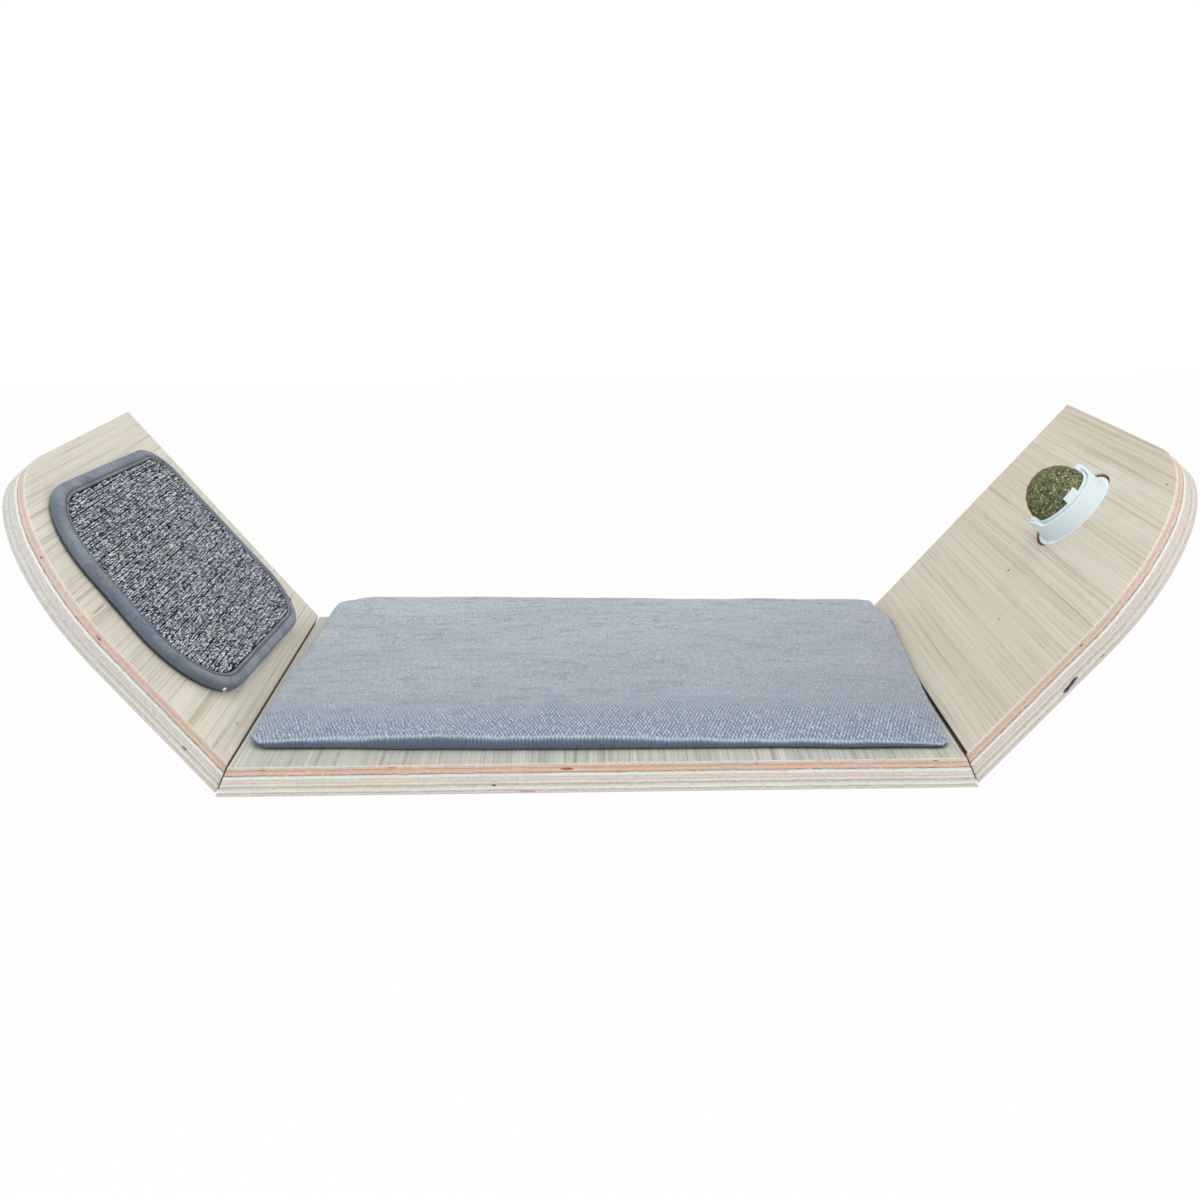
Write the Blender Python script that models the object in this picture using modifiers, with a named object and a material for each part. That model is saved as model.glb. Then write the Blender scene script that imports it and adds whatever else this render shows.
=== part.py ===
# Cat wall scratcher lounge. A plywood seat board carries two tilted wings, one
# with a bound scratch mat and one with a catnip ball under a flip cover. Two
# steel brackets hold it to the wall, and bent steel plates join the boards.
#
# Metres, +Z up. The wall is the plane y = 0 and the room lies towards -Y. The
# origin is the middle of the seat board's back edge, halfway up its thickness.

import math

import bmesh
import bpy
from mathutils import Matrix, Vector

# Boards
board_thickness = 0.0156
seat_width = 0.350  # between the mitres, on the upper face
seat_depth = 0.258
left_wing_length = 0.1710  # up the slope, on the upper face
right_wing_length = 0.1745
wing_set_back = 0.004  # how far the wings stop short of the seat's front edge
left_wing_tilt = math.radians(50.5)
right_wing_tilt = math.radians(48.0)
wing_corner_radius = 0.097
mitre_gap = 0.0008
board_edge_round = 0.0006

# Fits shared by all pieces
touch_gap = 0.0003  # left between faces that rest on each other
cut_overrun = 0.020  # how far a cutter runs past what it cuts
weld_distance = 0.00001

# Wood screws
screw_head_radius = 0.0040
screw_head_height = 0.0024
screw_shank_radius = 0.0017
screw_length = 0.0125
screw_tip_length = 0.0030
screw_hole_radius = 0.0023  # in the steel
pilot_extra_depth = 0.0005

# Bent plates under the two mitres
joint_plate_width = 0.030
joint_plate_leg = 0.045
joint_plate_thickness = 0.0020
joint_plate_bend_radius = 0.0010
joint_plate_corner = 0.006
joint_plate_hole_spacing = 0.019
joint_plate_hole_margin = 0.009  # from the leg's end to the last hole
front_plate_from_front = 0.025  # middle of the plate, from the wing's front edge
rear_plate_from_wall = 0.060
joint_plate_corner_steps = 4

# Brackets that hold the seat board to the wall
bracket_width = 0.028
bracket_thickness = 0.0030
bracket_from_front = 0.106  # from the seat board's front edge to the bracket's end
bracket_wall_leg = 0.078
bracket_bend_radius = 0.0030
bracket_corner = 0.009
bracket_plate_gap = 0.006  # between a bracket and the joint plates beside it
bracket_screw_count = 3
bracket_first_screw = 0.046  # from the wall to the nearest screw
bracket_hole_margin = 0.014
wall_hole_count = 2
wall_hole_radius = 0.0025
wall_hole_spacing = 0.030
web_leg = 0.022  # between the two legs, along each
web_width = 0.0050
web_hollow = 0.0050  # how far its free edge curves in

# Seat cushion and the strips that hold it
cushion_side_inset = 0.0060  # from the mitre to the cushion's side
cushion_wall_draw = 0.0030  # how much further in its left side is along the wall
cushion_back_inset = 0.0015
cushion_front_inset = 0.0115  # in the middle
cushion_front_skew = 0.0040  # how much nearer the front its right corner comes
cushion_height = 0.0085
cushion_edge_height = 0.0060
cushion_back_rise = 0.0050  # how much higher it stands along the wall
cushion_side_draw = 0.0015  # how far the sides pull in between the corners
cushion_side_bulge = 0.0010
cushion_wing_lap = 0.0125  # how far its right side leans over the wing at the wall
cushion_wing_clearance = 0.0014
cushion_corner_draw = 0.0050
strip_length = 0.060
strip_width = 0.020
strip_thickness = 0.0008
strip_corner = 0.0030

# Scratch mat on the left wing
mat_height = 0.0066
binding_cloth = 0.0009
binding_lap = 0.0072
binding_roll = 0.0022  # radius of the rolled outer edge
mat_pile_rise = 0.0004  # the pile stands this much above the binding
mat_pile_round = 0.0004
pin_head_radius = 0.0012
pin_head_height = 0.0005
pin_shank_radius = 0.0006
pin_depth = 0.0070  # into the wood
pin_inset = 0.0038  # from the mat's outline

# Catnip dispenser in the right wing
pocket_radius = 0.0253
pocket_depth = 0.0115
pocket_chamfer = 0.0005
dispenser_turn = math.radians(12.0)
ball_radius = 0.0165
ball_height = 0.0105  # centre above the wing's face
ball_clearance = 0.0007
cover_wall = 0.0012
cover_clearance = 0.0009
collar_wall = 0.0013
collar_flare = 0.0012
collar_drop = 0.0015  # rim below the pivot
cup_floor = 0.0015
cup_pad_thickness = 0.0007
flange_reach = 0.0021
flange_thickness = 0.0013
flange_sink = 0.0015  # top of the flange below the wing's face
ear_width = 0.0140
ear_rise = 0.0040  # above the rim
tab_width = 0.0084
tab_rise = 0.0036
boss_radius = 0.0032
boss_rise = 0.0005
spindle_radius = 0.0012

# Corners of the scratch mat before rounding, as shares of the wing's length and depth
mat_corner_shares = ((0.085, 0.105), (0.848, 0.113), (0.898, 0.795), (0.107, 0.977))
# Their radii, as shares of the wing's length
mat_radius_shares = (0.160, 0.149, 0.264, 0.318)
# Middle of the dispenser's pocket, as shares of the wing's length and depth
pocket_place_shares = (0.706, 0.508)
# Bulge of a screw's head and its edge, as shares of the head's radius and height
screw_crown_shares = (0.55, 0.90)
screw_edge_share = 0.33
# Middles of the cushion's strips, as shares of half the seat's width and of its depth
strip_place_shares = ((-0.62, 0.22), (0.62, 0.22), (-0.62, 0.72), (0.62, 0.72))
# Columns and rows of the cushion's cage
cushion_column_shares = (-0.95, -0.45, 0.45, 0.95)
cushion_row_shares = (0.07, 0.50, 0.93)
cushion_lap_power = 6  # how late its side starts to lean over the wing
flat_angle = math.radians(0.5)  # faces that turn less than this are joined

# How finely round things are made
corner_steps = 7
wing_corner_steps = 18
screw_steps = 12
pilot_steps = 8
pin_steps = 8
strip_corner_steps = 3
web_steps = 6
pocket_steps = 56
cup_steps = 48
hole_steps = 12
bend_steps = 4
ball_subdivisions = 3
cover_segments = 32
cover_rings = 16

# Values that follow from the ones above
wing_depth = seat_depth - wing_set_back
bracket_seat_leg = seat_depth - bracket_from_front
bracket_middle = seat_width / 2 - joint_plate_leg - bracket_plate_gap - bracket_width / 2
bracket_screw_run = bracket_seat_leg - bracket_hole_margin - bracket_first_screw
bracket_screw_step = bracket_screw_run / (bracket_screw_count - 1)
cover_inner_radius = ball_radius + ball_clearance
cover_outer_radius = cover_inner_radius + cover_wall
collar_inner_radius = cover_outer_radius + cover_clearance
collar_outer_radius = collar_inner_radius + collar_wall
collar_foot_radius = collar_outer_radius + collar_flare
flange_radius = collar_foot_radius + flange_reach
cup_bottom = -pocket_depth + cup_pad_thickness + 2 * touch_gap
bracket_middle_radius = bracket_bend_radius + bracket_thickness / 2
bracket_outer_radius = bracket_bend_radius + bracket_thickness
pilot_radius = screw_shank_radius + touch_gap
pin_hole_radius = pin_shank_radius + touch_gap
board_top = board_thickness / 2
cushion_hollow = 2 * strip_thickness + 4 * touch_gap


# Scene and materials

for old_object in list(bpy.data.objects):
    bpy.data.objects.remove(old_object, do_unlink=True)

parts = bpy.data.collections.new("cat_wall_scratcher_lounge")
cutters = bpy.data.collections.new("cutters")
bpy.context.scene.collection.children.link(parts)
bpy.context.scene.collection.children.link(cutters)


def make_material(name, color, roughness, metallic=0.0, alpha=1.0):
    material = bpy.data.materials.new(name)
    material.use_nodes = True
    shader = material.node_tree.nodes["Principled BSDF"]
    shader.inputs["Base Color"].default_value = (*color, 1.0)
    shader.inputs["Roughness"].default_value = roughness
    shader.inputs["Metallic"].default_value = metallic
    shader.inputs["Alpha"].default_value = alpha
    material.diffuse_color = (*color, alpha)
    return material


plywood = make_material("plywood", (0.62, 0.55, 0.42), 0.55)
black_steel = make_material("black_steel", (0.03, 0.03, 0.03), 0.45, 0.6)
zinc_steel = make_material("zinc_steel", (0.62, 0.62, 0.60), 0.30, 1.0)
grey_cloth = make_material("grey_cloth", (0.28, 0.30, 0.33), 0.95)
slate_binding = make_material("slate_binding", (0.10, 0.11, 0.14), 0.90)
woven_mat = make_material("woven_mat", (0.22, 0.22, 0.23), 0.95)
mat_backing = make_material("mat_backing", (0.35, 0.31, 0.25), 0.95)
strip_cloth = make_material("strip_cloth", (0.05, 0.05, 0.05), 0.90)
milky_plastic = make_material("milky_plastic", (0.80, 0.86, 0.90), 0.30, 0.0, 0.85)
catnip = make_material("catnip", (0.10, 0.11, 0.03), 0.95)
white_foam = make_material("white_foam", (0.85, 0.85, 0.82), 0.90)


# Tools

def add_object(name, mesh, collection=parts, parent=None, place=None, material=None):
    made = bpy.data.objects.new(name, mesh)
    collection.objects.link(made)
    made.parent = parent
    if place is not None:
        made.matrix_local = place
    if material is not None:
        mesh.materials.clear()
        mesh.materials.append(material)
    if collection is cutters:
        made.hide_render = True
        made.display_type = "WIRE"
    return made


def add_empty(name, place, parent=None):
    empty = bpy.data.objects.new(name, None)
    parts.objects.link(empty)
    empty.parent = parent
    empty.matrix_local = place
    return empty


def mesh_from(name, working):
    mesh = bpy.data.meshes.new(name)
    bmesh.ops.recalc_face_normals(working, faces=working.faces)
    working.to_mesh(mesh)
    working.free()
    return mesh


def evaluated_mesh(source):
    # The mesh of an object with its modifiers or its curve applied, welded, and the object removed
    bpy.context.view_layer.update()
    graph = bpy.context.evaluated_depsgraph_get()
    mesh = bpy.data.meshes.new_from_object(source.evaluated_get(graph))
    working = bmesh.new()
    working.from_mesh(mesh)
    bmesh.ops.remove_doubles(working, verts=working.verts, dist=weld_distance)
    bmesh.ops.recalc_face_normals(working, faces=working.faces)
    working.to_mesh(mesh)
    working.free()
    mesh.name = source.name
    bpy.data.objects.remove(source, do_unlink=True)
    return mesh


def smooth(made, angle=math.radians(35)):
    made.data.shade_smooth()
    made.data.set_sharp_from_angle(angle=angle)
    return made


def dissolve_flats(mesh):
    # Joins the triangles of flat faces, so that a bevel meets clean edges
    working = bmesh.new()
    working.from_mesh(mesh)
    bmesh.ops.dissolve_limit(
        working, angle_limit=flat_angle, verts=working.verts, edges=working.edges
    )
    working.to_mesh(mesh)
    working.free()


def bevel(made, width, segments=2, angle=math.radians(40)):
    dissolve_flats(made.data)
    modifier = made.modifiers.new("edge_round", "BEVEL")
    modifier.width = width
    modifier.segments = segments
    modifier.limit_method = "ANGLE"
    modifier.angle_limit = angle
    return made


def cut(made, cutter, operation="DIFFERENCE"):
    modifier = made.modifiers.new(cutter.name, "BOOLEAN")
    modifier.operation = operation
    modifier.solver = "EXACT"
    modifier.object = cutter
    return made


def plate(name, loops, thickness):
    # A flat piece of the given outline and holes, centred on z = 0
    outline = bpy.data.curves.new(name, "CURVE")
    outline.dimensions = "2D"
    outline.fill_mode = "BOTH"
    outline.extrude = thickness / 2
    for loop in loops:
        spline = outline.splines.new("POLY")
        spline.points.add(len(loop) - 1)
        for point, (x, y) in zip(spline.points, loop):
            point.co = (x, y, 0, 1)
        spline.use_cyclic_u = True
    flat = bpy.data.objects.new(name, outline)
    cutters.objects.link(flat)
    return evaluated_mesh(flat)


def turned(name, profile, steps):
    # A profile of radius and height, turned about Z
    line = bpy.data.meshes.new(name)
    links = [(index, index + 1) for index in range(len(profile) - 1)]
    line.from_pydata([(radius, 0, height) for radius, height in profile], links, [])
    spun = bpy.data.objects.new(name, line)
    cutters.objects.link(spun)
    modifier = spun.modifiers.new("turn", "SCREW")
    modifier.steps = steps
    modifier.render_steps = steps
    modifier.use_merge_vertices = True
    modifier.merge_threshold = weld_distance
    return evaluated_mesh(spun)


def circle(radius, steps, middle=(0, 0)):
    points = []
    for index in range(steps):
        turn = 2 * math.pi * index / steps
        points.append((middle[0] + radius * math.cos(turn), middle[1] + radius * math.sin(turn)))
    return points


def arc(middle, radius, start, end, steps):
    points = []
    for index in range(steps + 1):
        turn = start + (end - start) * index / steps
        points.append((middle[0] + radius * math.cos(turn), middle[1] + radius * math.sin(turn)))
    return points


def rounded_corners(corners, radii, inset=0.0, steps=corner_steps):
    # A closed outline through convex corners, each rounded, then drawn in by the inset
    points = []
    count = len(corners)
    for index in range(count):
        corner = Vector(corners[index])
        before = (Vector(corners[index - 1]) - corner).normalized()
        after = (Vector(corners[(index + 1) % count]) - corner).normalized()
        half_angle = before.angle(after) / 2
        radius = radii[index]
        middle = corner + (before + after).normalized() * (radius / math.sin(half_angle))
        first = corner + before * (radius / math.tan(half_angle)) - middle
        start = math.atan2(first.y, first.x)
        sweep = math.pi - 2 * half_angle
        if before.cross(after) > 0:
            sweep = -sweep
        points += arc(middle, radius - inset, start, start + sweep, steps)
    return points


def rounded_rectangle(width, height, radius, steps=corner_steps, middle=(0, 0)):
    x, y = width / 2, height / 2
    corners = [(-x, -y), (x, -y), (x, y), (-x, y)]
    corners = [(middle[0] + across, middle[1] + along) for across, along in corners]
    return rounded_corners(corners, [radius] * 4, 0.0, steps)


def add_copies(name, mesh, places, parent, material):
    # A numbered object at each place, all with one mesh
    for number, place in enumerate(places, start=1):
        smooth(add_object(f"{name}_{number}", mesh, parts, parent, place, material))


def rod_cutter(name, radius, length, places, steps=hole_steps, parent=None):
    # Round cutters that start at the overrun above each place and end at its length below
    working = bmesh.new()
    for place in places:
        shift = Matrix.Translation((0, 0, (cut_overrun - length) / 2))
        bmesh.ops.create_cone(
            working, cap_ends=True, segments=steps, radius1=radius, radius2=radius,
            depth=length + cut_overrun, matrix=place @ shift
        )
    return add_object(name, mesh_from(name, working), cutters, parent)


def wing_tilt(side):
    return right_wing_tilt if side > 0 else left_wing_tilt


def wing_length(side):
    return right_wing_length if side > 0 else left_wing_length


def wing_place(side):
    # Local X runs away from the seat on the right and towards it on the left, Z out of the face
    mitre = Matrix.Translation((side * seat_width / 2, 0, board_top))
    return mitre @ Matrix.Rotation(-side * wing_tilt(side), 4, "Y")


def mitre_drift(side):
    # How far the mitre moves along a board between its two faces
    return board_thickness * math.tan(wing_tilt(side) / 2)


lounge = add_empty("lounge_origin", Matrix.Identity(4))
wing_frames = {side: add_empty(name, wing_place(side), lounge)
               for side, name in ((-1, "left_wing_frame"), (1, "right_wing_frame"))}


# Screws. Their local Z points out of the head, and z = 0 is the seat of the head.

def screw_mesh():
    crown_radius = screw_head_radius * screw_crown_shares[0]
    crown_height = screw_head_height * screw_crown_shares[1]
    profile = [
        (0, screw_head_height),
        (crown_radius, crown_height),
        (screw_head_radius, screw_head_height * screw_edge_share),
        (screw_head_radius, 0),
        (screw_shank_radius, 0),
        (screw_shank_radius, screw_tip_length - screw_length),
        (0, -screw_length),
    ]
    return turned("wood_screw", profile, screw_steps)


wood_screw = screw_mesh()


# Joint plates: flat blanks with their holes, bent about the middle

def bend_plate(mesh, turn, radius, thickness, upwards):
    # Bends a flat plate about local Y. Upwards, both legs rise, and the bend's inside is on top.
    middle_radius = radius + thickness / 2
    half_arc = middle_radius * turn / 2
    sign = 1 if upwards else -1
    working = bmesh.new()
    working.from_mesh(mesh)
    for index in range(bend_steps + 1):
        place = half_arc * (2 * index / bend_steps - 1)
        everything = working.verts[:] + working.edges[:] + working.faces[:]
        bmesh.ops.bisect_plane(
            working, geom=everything, dist=weld_distance, plane_co=(place, 0, 0), plane_no=(1, 0, 0)
        )
    for vertex in working.verts:
        along = vertex.co.x
        on_arc = max(-half_arc, min(half_arc, along))
        angle = on_arc / middle_radius
        reach = middle_radius - sign * vertex.co.z
        straight = along - on_arc
        vertex.co.x = reach * math.sin(angle) + straight * math.cos(angle)
        rise = middle_radius - reach * math.cos(angle) + straight * math.sin(angle)
        vertex.co.z = sign * rise
    working.to_mesh(mesh)
    working.free()
    return mesh


def joint_plate_holes():
    last = joint_plate_leg - joint_plate_hole_margin
    first = last - joint_plate_hole_spacing
    return (-last, -first, first, last)


def joint_plate_blank(name):
    outline = rounded_rectangle(
        2 * joint_plate_leg, joint_plate_width, joint_plate_corner, joint_plate_corner_steps
    )
    holes = [circle(screw_hole_radius, hole_steps, (place, 0)) for place in joint_plate_holes()]
    return plate(name, [outline] + holes, joint_plate_thickness)


def joint_plate_place(side, along):
    # The plate's frame: its inner corner lies a touch gap below the boards' lower corner
    half_turn = wing_tilt(side) / 2
    middle_radius = joint_plate_bend_radius + joint_plate_thickness / 2
    inner_corner = middle_radius - joint_plate_bend_radius / math.cos(half_turn)
    corner_x = side * (seat_width / 2 + mitre_drift(side))
    corner = Matrix.Translation((corner_x, along, -board_top))
    drop = Matrix.Translation((0, 0, -inner_corner - touch_gap / math.cos(half_turn)))
    return corner @ Matrix.Rotation(-side * half_turn, 4, "Y") @ drop


def joint_screw_places(side, along):
    # Screw places in the plate's frame, heads below the legs
    turn = wing_tilt(side)
    middle_radius = joint_plate_bend_radius + joint_plate_thickness / 2
    half_arc = middle_radius * turn / 2
    places = []
    for place in joint_plate_holes():
        way = 1 if place > 0 else -1
        bend_end = Matrix.Translation((way * middle_radius * math.sin(turn / 2), 0,
                                       middle_radius * (1 - math.cos(turn / 2))))
        leg = Matrix.Rotation(-way * turn / 2, 4, "Y")
        out = Matrix.Translation((place - way * half_arc, 0, -joint_plate_thickness / 2 - touch_gap))
        flip = Matrix.Rotation(math.pi, 4, "X")
        places.append(joint_plate_place(side, along) @ bend_end @ leg @ out @ flip)
    return places


def plate_rows():
    return {"front": front_plate_from_front - wing_depth, "rear": -rear_plate_from_wall}


board_screws = []
for side, side_name in ((-1, "left"), (1, "right")):
    for row_name, along in plate_rows().items():
        node = f"{side_name}_{row_name}_joint"
        blank = joint_plate_blank(node)
        bend_plate(blank, wing_tilt(side), joint_plate_bend_radius, joint_plate_thickness, True)
        place = joint_plate_place(side, along)
        smooth(add_object(f"{node}_plate", blank, parts, lounge, place, black_steel))
        places = joint_screw_places(side, along)
        add_copies(f"{node}_screw", wood_screw, places, lounge, zinc_steel)
        board_screws += places


# Wall brackets: a leg under the seat, a leg down the wall and a web between them

def bracket_blank(name):
    # Local +X becomes the leg under the seat, local -X the leg down the wall
    turn = math.pi / 2
    saved = 2 * bracket_outer_radius - bracket_middle_radius * turn
    seat_end = bracket_seat_leg - saved / 2
    wall_end = bracket_wall_leg - saved / 2
    length = seat_end + wall_end
    middle = ((seat_end - wall_end) / 2, 0)
    outline = rounded_rectangle(length, bracket_width, bracket_corner, corner_steps, middle)
    loops = [outline]
    for index in range(bracket_screw_count):
        place = seat_end - bracket_hole_margin - index * bracket_screw_step
        loops.append(circle(screw_hole_radius, hole_steps, (place, 0)))
    for index in range(wall_hole_count):
        place = bracket_hole_margin + index * wall_hole_spacing - wall_end
        loops.append(circle(wall_hole_radius, hole_steps, (place, 0)))
    mesh = plate(name, loops, bracket_thickness)
    return bend_plate(mesh, turn, bracket_bend_radius, bracket_thickness, False)


def bracket_place(across):
    # Turns the bent blank so that one leg lies along -Y and the other along -Z
    outer_corner = bracket_outer_radius * math.sqrt(2) - bracket_middle_radius
    corner = Matrix.Translation((across, 0, -board_top - touch_gap))
    face_room = Matrix.Rotation(-math.pi / 2, 4, "Z")
    tip = Matrix.Rotation(-math.pi / 4, 4, "Y")
    return corner @ face_room @ tip @ Matrix.Translation((0, 0, -outer_corner))


def web_mesh(name):
    # In its own frame the legs run along +X and -Y. Its roots lie inside the steel, and its
    # free edge curves in.
    root = bracket_thickness / 2
    tip = bracket_thickness + web_leg
    corner = bracket_outer_radius - bracket_middle_radius / math.sqrt(2)
    points = [(corner, -corner), (tip, -root)]
    for step in range(1, web_steps):
        share = step / web_steps
        bow = web_hollow * math.sin(math.pi * share) / math.sqrt(2)
        points.append((tip - (tip - root) * share - bow, -root - (tip - root) * share + bow))
    points.append((root, -tip))
    return plate(name, [points], web_width)


def bracket_screw_places(across):
    places = []
    drop = -board_top - 2 * touch_gap - bracket_thickness
    for index in range(bracket_screw_count):
        forward = bracket_seat_leg - bracket_hole_margin - index * bracket_screw_step
        place = Matrix.Translation((across, -forward, drop))
        places.append(place @ Matrix.Rotation(math.pi, 4, "X"))
    return places


for side, side_name in ((-1, "left"), (1, "right")):
    across = side * bracket_middle
    node = f"{side_name}_wall_bracket"
    bracket = add_object(node, bracket_blank(node), parts, lounge, bracket_place(across), black_steel)
    corner = Matrix.Translation((across, 0, -board_top - touch_gap))
    upright = Matrix.Rotation(-math.pi / 2, 4, "Z") @ Matrix.Rotation(math.pi / 2, 4, "X")
    web = add_object(f"{node}_web", web_mesh("web"), cutters, lounge, corner @ upright)
    cut(bracket, web, "UNION")
    smooth(bracket)
    places = bracket_screw_places(across)
    add_copies(f"{node}_screw", wood_screw, places, lounge, zinc_steel)
    board_screws += places


# Boards

def seat_board_mesh():
    # The mitred section, drawn in X and Z and pushed through the depth
    ends = {}
    for side in (-1, 1):
        set_back = mitre_gap / 2 / math.cos(wing_tilt(side) / 2)
        ends[side] = (seat_width / 2 - set_back, seat_width / 2 - set_back + mitre_drift(side))
    section = [
        (-ends[-1][0], board_top), (-ends[-1][1], -board_top),
        (ends[1][1], -board_top), (ends[1][0], board_top),
    ]
    mesh = plate("seat_board", [section], seat_depth)
    stand = Matrix.Translation((0, -seat_depth / 2, 0)) @ Matrix.Rotation(math.pi / 2, 4, "X")
    mesh.transform(stand)
    return mesh


def wing_outline(side):
    # Square at the wall, and one big round at the upper front corner
    foot = -2 * mitre_drift(side)
    top = wing_length(side)
    round_middle = (top - wing_corner_radius, wing_depth - wing_corner_radius)
    points = [(foot, wing_depth), (foot, 0), (top, 0)]
    points += arc(round_middle, wing_corner_radius, 0, math.pi / 2, wing_corner_steps)
    return [(side * up, -out) for up, out in points]


def wing_board_mesh(side, name):
    mesh = plate(name, [wing_outline(side)], board_thickness)
    mesh.transform(Matrix.Translation((0, 0, -board_top)))
    half_turn = wing_tilt(side) / 2
    working = bmesh.new()
    working.from_mesh(mesh)
    everything = working.verts[:] + working.edges[:] + working.faces[:]
    set_back = mitre_gap / 2
    cut_result = bmesh.ops.bisect_plane(
        working, geom=everything, dist=weld_distance, clear_outer=True,
        plane_co=(side * set_back * math.cos(half_turn), 0, -set_back * math.sin(half_turn)),
        plane_no=(-side * math.cos(half_turn), 0, math.sin(half_turn))
    )
    rim = [item for item in cut_result["geom_cut"] if isinstance(item, bmesh.types.BMEdge)]
    bmesh.ops.holes_fill(working, edges=rim)
    bmesh.ops.recalc_face_normals(working, faces=working.faces)
    working.to_mesh(mesh)
    working.free()
    return mesh


seat_board = add_object("seat_board", seat_board_mesh(), parts, lounge, None, plywood)
left_wing_board = add_object(
    "left_wing_board", wing_board_mesh(-1, "left_wing_board"), parts, wing_frames[-1], None, plywood
)
right_wing_board = add_object(
    "right_wing_board", wing_board_mesh(1, "right_wing_board"), parts, wing_frames[1], None, plywood
)
for board in (seat_board, left_wing_board, right_wing_board):
    bevel(board, board_edge_round)

pilots = rod_cutter(
    "pilot_holes", pilot_radius, screw_length + pilot_extra_depth, board_screws, pilot_steps, lounge
)
for board in (seat_board, left_wing_board, right_wing_board):
    cut(board, pilots)


# Pocket for the catnip dispenser

def dispenser_place():
    # Local X is the pivot's axis, -Y faces the thumb tab, and Z points out of the wing
    up_share, out_share = pocket_place_shares
    middle = Matrix.Translation((up_share * right_wing_length, -out_share * wing_depth, 0))
    return middle @ Matrix.Rotation(dispenser_turn, 4, "Z")


def pocket_mesh():
    profile = [
        (0, cut_overrun),
        (pocket_radius + pocket_chamfer + cut_overrun, cut_overrun),
        (pocket_radius, -pocket_chamfer),
        (pocket_radius, -pocket_depth),
        (0, -pocket_depth),
    ]
    return turned("pocket", profile, pocket_steps)


dispenser = add_empty("dispenser_frame", dispenser_place(), wing_frames[1])
pivot_place = Matrix.Translation((0, 0, ball_height))
pocket = add_object("pocket", pocket_mesh(), cutters, dispenser)
cut(right_wing_board, pocket)
smooth(right_wing_board)
smooth(left_wing_board)


# Catnip cup: a turned cup with a flange, whose rim is cut down to leave two ears

def cup_mesh():
    ear_top = ball_height - collar_drop + ear_rise
    flange_top = -flange_sink
    flange_bottom = flange_top - flange_thickness
    inside_floor = cup_bottom + cup_floor
    floor_round = cover_clearance + cover_wall
    profile = [
        (0, inside_floor),
        (collar_inner_radius - floor_round, inside_floor),
        (collar_inner_radius, inside_floor + floor_round),
        (collar_inner_radius, ear_top),
        (collar_outer_radius, ear_top),
        (collar_outer_radius, ball_height - collar_drop),
        (collar_foot_radius, flange_top),
        (flange_radius, flange_top),
        (flange_radius, flange_bottom),
        (collar_outer_radius, flange_bottom),
        (collar_outer_radius, cup_bottom),
        (0, cup_bottom),
    ]
    return turned("catnip_cup", profile, cup_steps)


def ear_cutter_mesh():
    # Everything above the rim but the two ears, drawn across the pivot and pushed along it
    low = ball_height - collar_drop
    high = ball_height + cut_overrun
    side = flange_radius + cut_overrun
    ear_radius = (ear_width ** 2 / 4 + ear_rise ** 2) / (2 * ear_rise)
    half = math.asin(ear_width / 2 / ear_radius)
    upright = math.pi / 2
    ear = arc((0, low + ear_rise - ear_radius), ear_radius, upright + half, upright - half, corner_steps)
    points = [(-side, low)] + ear + [(side, low), (side, high), (-side, high)]
    mesh = plate("ear_cutter", [points], 2 * side)
    mesh.transform(Matrix.Rotation(math.pi / 2, 4, "X"))
    mesh.transform(Matrix.Rotation(math.pi / 2, 4, "Z"))
    return mesh


def pivot_hole(name, parent, height):
    # A round cutter along the pivot's axis
    along = Matrix.Rotation(math.pi / 2, 4, "Y")
    length = 2 * flange_radius
    start = Matrix.Translation((flange_radius, 0, height))
    radius = spindle_radius + touch_gap
    return rod_cutter(name, radius, length + cut_overrun, [start @ along], hole_steps, parent)


catnip_cup = add_object("catnip_cup", cup_mesh(), parts, dispenser, None, milky_plastic)
cut(catnip_cup, add_object("ear_cutter", ear_cutter_mesh(), cutters, dispenser))
cut(catnip_cup, pivot_hole("cup_pivot_hole", dispenser, ball_height))
smooth(catnip_cup)

pad_radius = collar_outer_radius - cup_pad_thickness
cup_pad = plate("cup_pad", [circle(pad_radius, cup_steps)], cup_pad_thickness)
pad_middle = cup_bottom - touch_gap - cup_pad_thickness / 2
pad_place = Matrix.Translation((0, 0, pad_middle))
smooth(add_object("cup_adhesive_pad", cup_pad, parts, dispenser, pad_place, white_foam))


# Flip cover: half a sphere shell with pivot bosses and a thumb tab. Its origin is on the pivot.

def cover_mesh():
    working = bmesh.new()
    bmesh.ops.create_uvsphere(
        working, u_segments=cover_segments, v_segments=cover_rings, radius=cover_outer_radius
    )
    everything = working.verts[:] + working.edges[:] + working.faces[:]
    bmesh.ops.bisect_plane(
        working, geom=everything, dist=weld_distance, clear_outer=True,
        plane_co=(0, 0, 0), plane_no=(0, 0, 1)
    )
    return mesh_from("flip_cover", working)


def tab_mesh():
    # A sector of the rim's wall, raised above it
    inner = cover_inner_radius + touch_gap
    outer = cover_outer_radius + touch_gap
    half = math.asin(tab_width / 2 / outer)
    points = arc((0, 0), outer, -math.pi / 2 - half, -math.pi / 2 + half, corner_steps)
    points += arc((0, 0), inner, -math.pi / 2 + half, -math.pi / 2 - half, corner_steps)
    height = tab_rise + cover_wall
    mesh = plate("tab", [points], height)
    mesh.transform(Matrix.Translation((0, 0, height / 2 - cover_wall)))
    return mesh


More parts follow.
